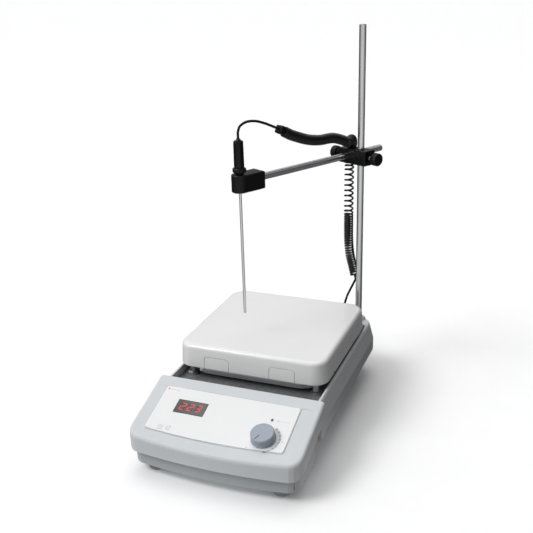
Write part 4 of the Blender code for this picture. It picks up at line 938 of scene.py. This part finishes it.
# ------------------------------------------------------------------ rear panel details
def in_housing(mesh_data, name, skin, slot, body="base"):
    return put(finish_mesh(name, mesh_data, skin, HOUSING_PLACE), body, slot)


pins = bmesh.new()
for x, z in ((-0.065, 0.054), (-0.058, 0.058), (-0.051, 0.054)):
    block(pins, x - 0.0011, x + 0.0011, 0.1662, 0.1770, z - 0.0022, z + 0.0022, 0.0004)
in_housing(pins, "inlet_pins", BRASS, "brass")
rocker_marks = bmesh.new()
block(rocker_marks, -0.0204, -0.0196, 0.1812, 0.18190, 0.0600, 0.0626)
in_housing(rocker_marks, "rocker_mark", PRINT_WHITE, "label_white", "rocker")
KEY_MARK_RADIUS = 0.0072
contacts = bmesh.new()
for angle in (40, 140, 220, 320):
    x = SOCKET_SPOT[0] + KEY_MARK_RADIUS * math.cos(math.radians(angle))
    z = SOCKET_SPOT[1] + KEY_MARK_RADIUS * math.sin(math.radians(angle))
    block(contacts, x - 0.0004, x + 0.0004, 0.1815, 0.18205, z - 0.0004, z + 0.0004, 0.0001)
in_housing(contacts, "socket_key_marks", BLACK, "black_plastic")


def screw_head(mesh_data, place, radius):
    """Domed cross-head screw."""
    head = bmesh.new()
    revolve(head, [(radius, -0.0006), (radius, 0.0002), (radius * 0.86, 0.0007), (radius * 0.5, 0.0010),
                   (radius * 0.05, 0.0011)], 24)
    for turn in (0.0, math.pi / 2):
        bar = bmesh.new()
        block(bar, -radius * 0.6, radius * 0.6, -0.00025, 0.00025, 0.00098, 0.00118)
        bar.transform(Matrix.Rotation(turn, 4, "Z"))
        pour_into(head, bar)
    head.transform(place)
    pour_into(mesh_data, head)


REAR_SCREW_RADIUS = 0.0022
DECK_SCREW_RADIUS = 0.0024
BACKWARD = Matrix.Rotation(-math.pi / 2, 4, "X")
DOWNWARD = Matrix.Rotation(math.pi, 4, "X")
rear_screws = bmesh.new()
for x in (-0.080, 0.015, 0.080):
    for z in (0.0445, 0.0665):
        screw_head(rear_screws, Matrix.Translation((x, HOUSING_REAR, z)) @ BACKWARD, REAR_SCREW_RADIUS)
in_housing(rear_screws, "rear_screws", THREAD, "sheet_steel")
deck_screws = bmesh.new()
for x in (-0.088, 0.088):
    for y in (-0.062, 0.136):
        screw_head(deck_screws, Matrix.Translation((x, y, 0.0664)), DECK_SCREW_RADIUS)
in_housing(deck_screws, "deck_screws", THREAD, "sheet_steel")
under_screws = bmesh.new()
for x in (-0.055, 0.055):
    for y in (-0.150, 0.1215):
        screw_head(under_screws, Matrix.Translation((x, y, 0.0120)) @ DOWNWARD, DECK_SCREW_RADIUS)
in_housing(under_screws, "under_screws", THREAD, "sheet_steel")
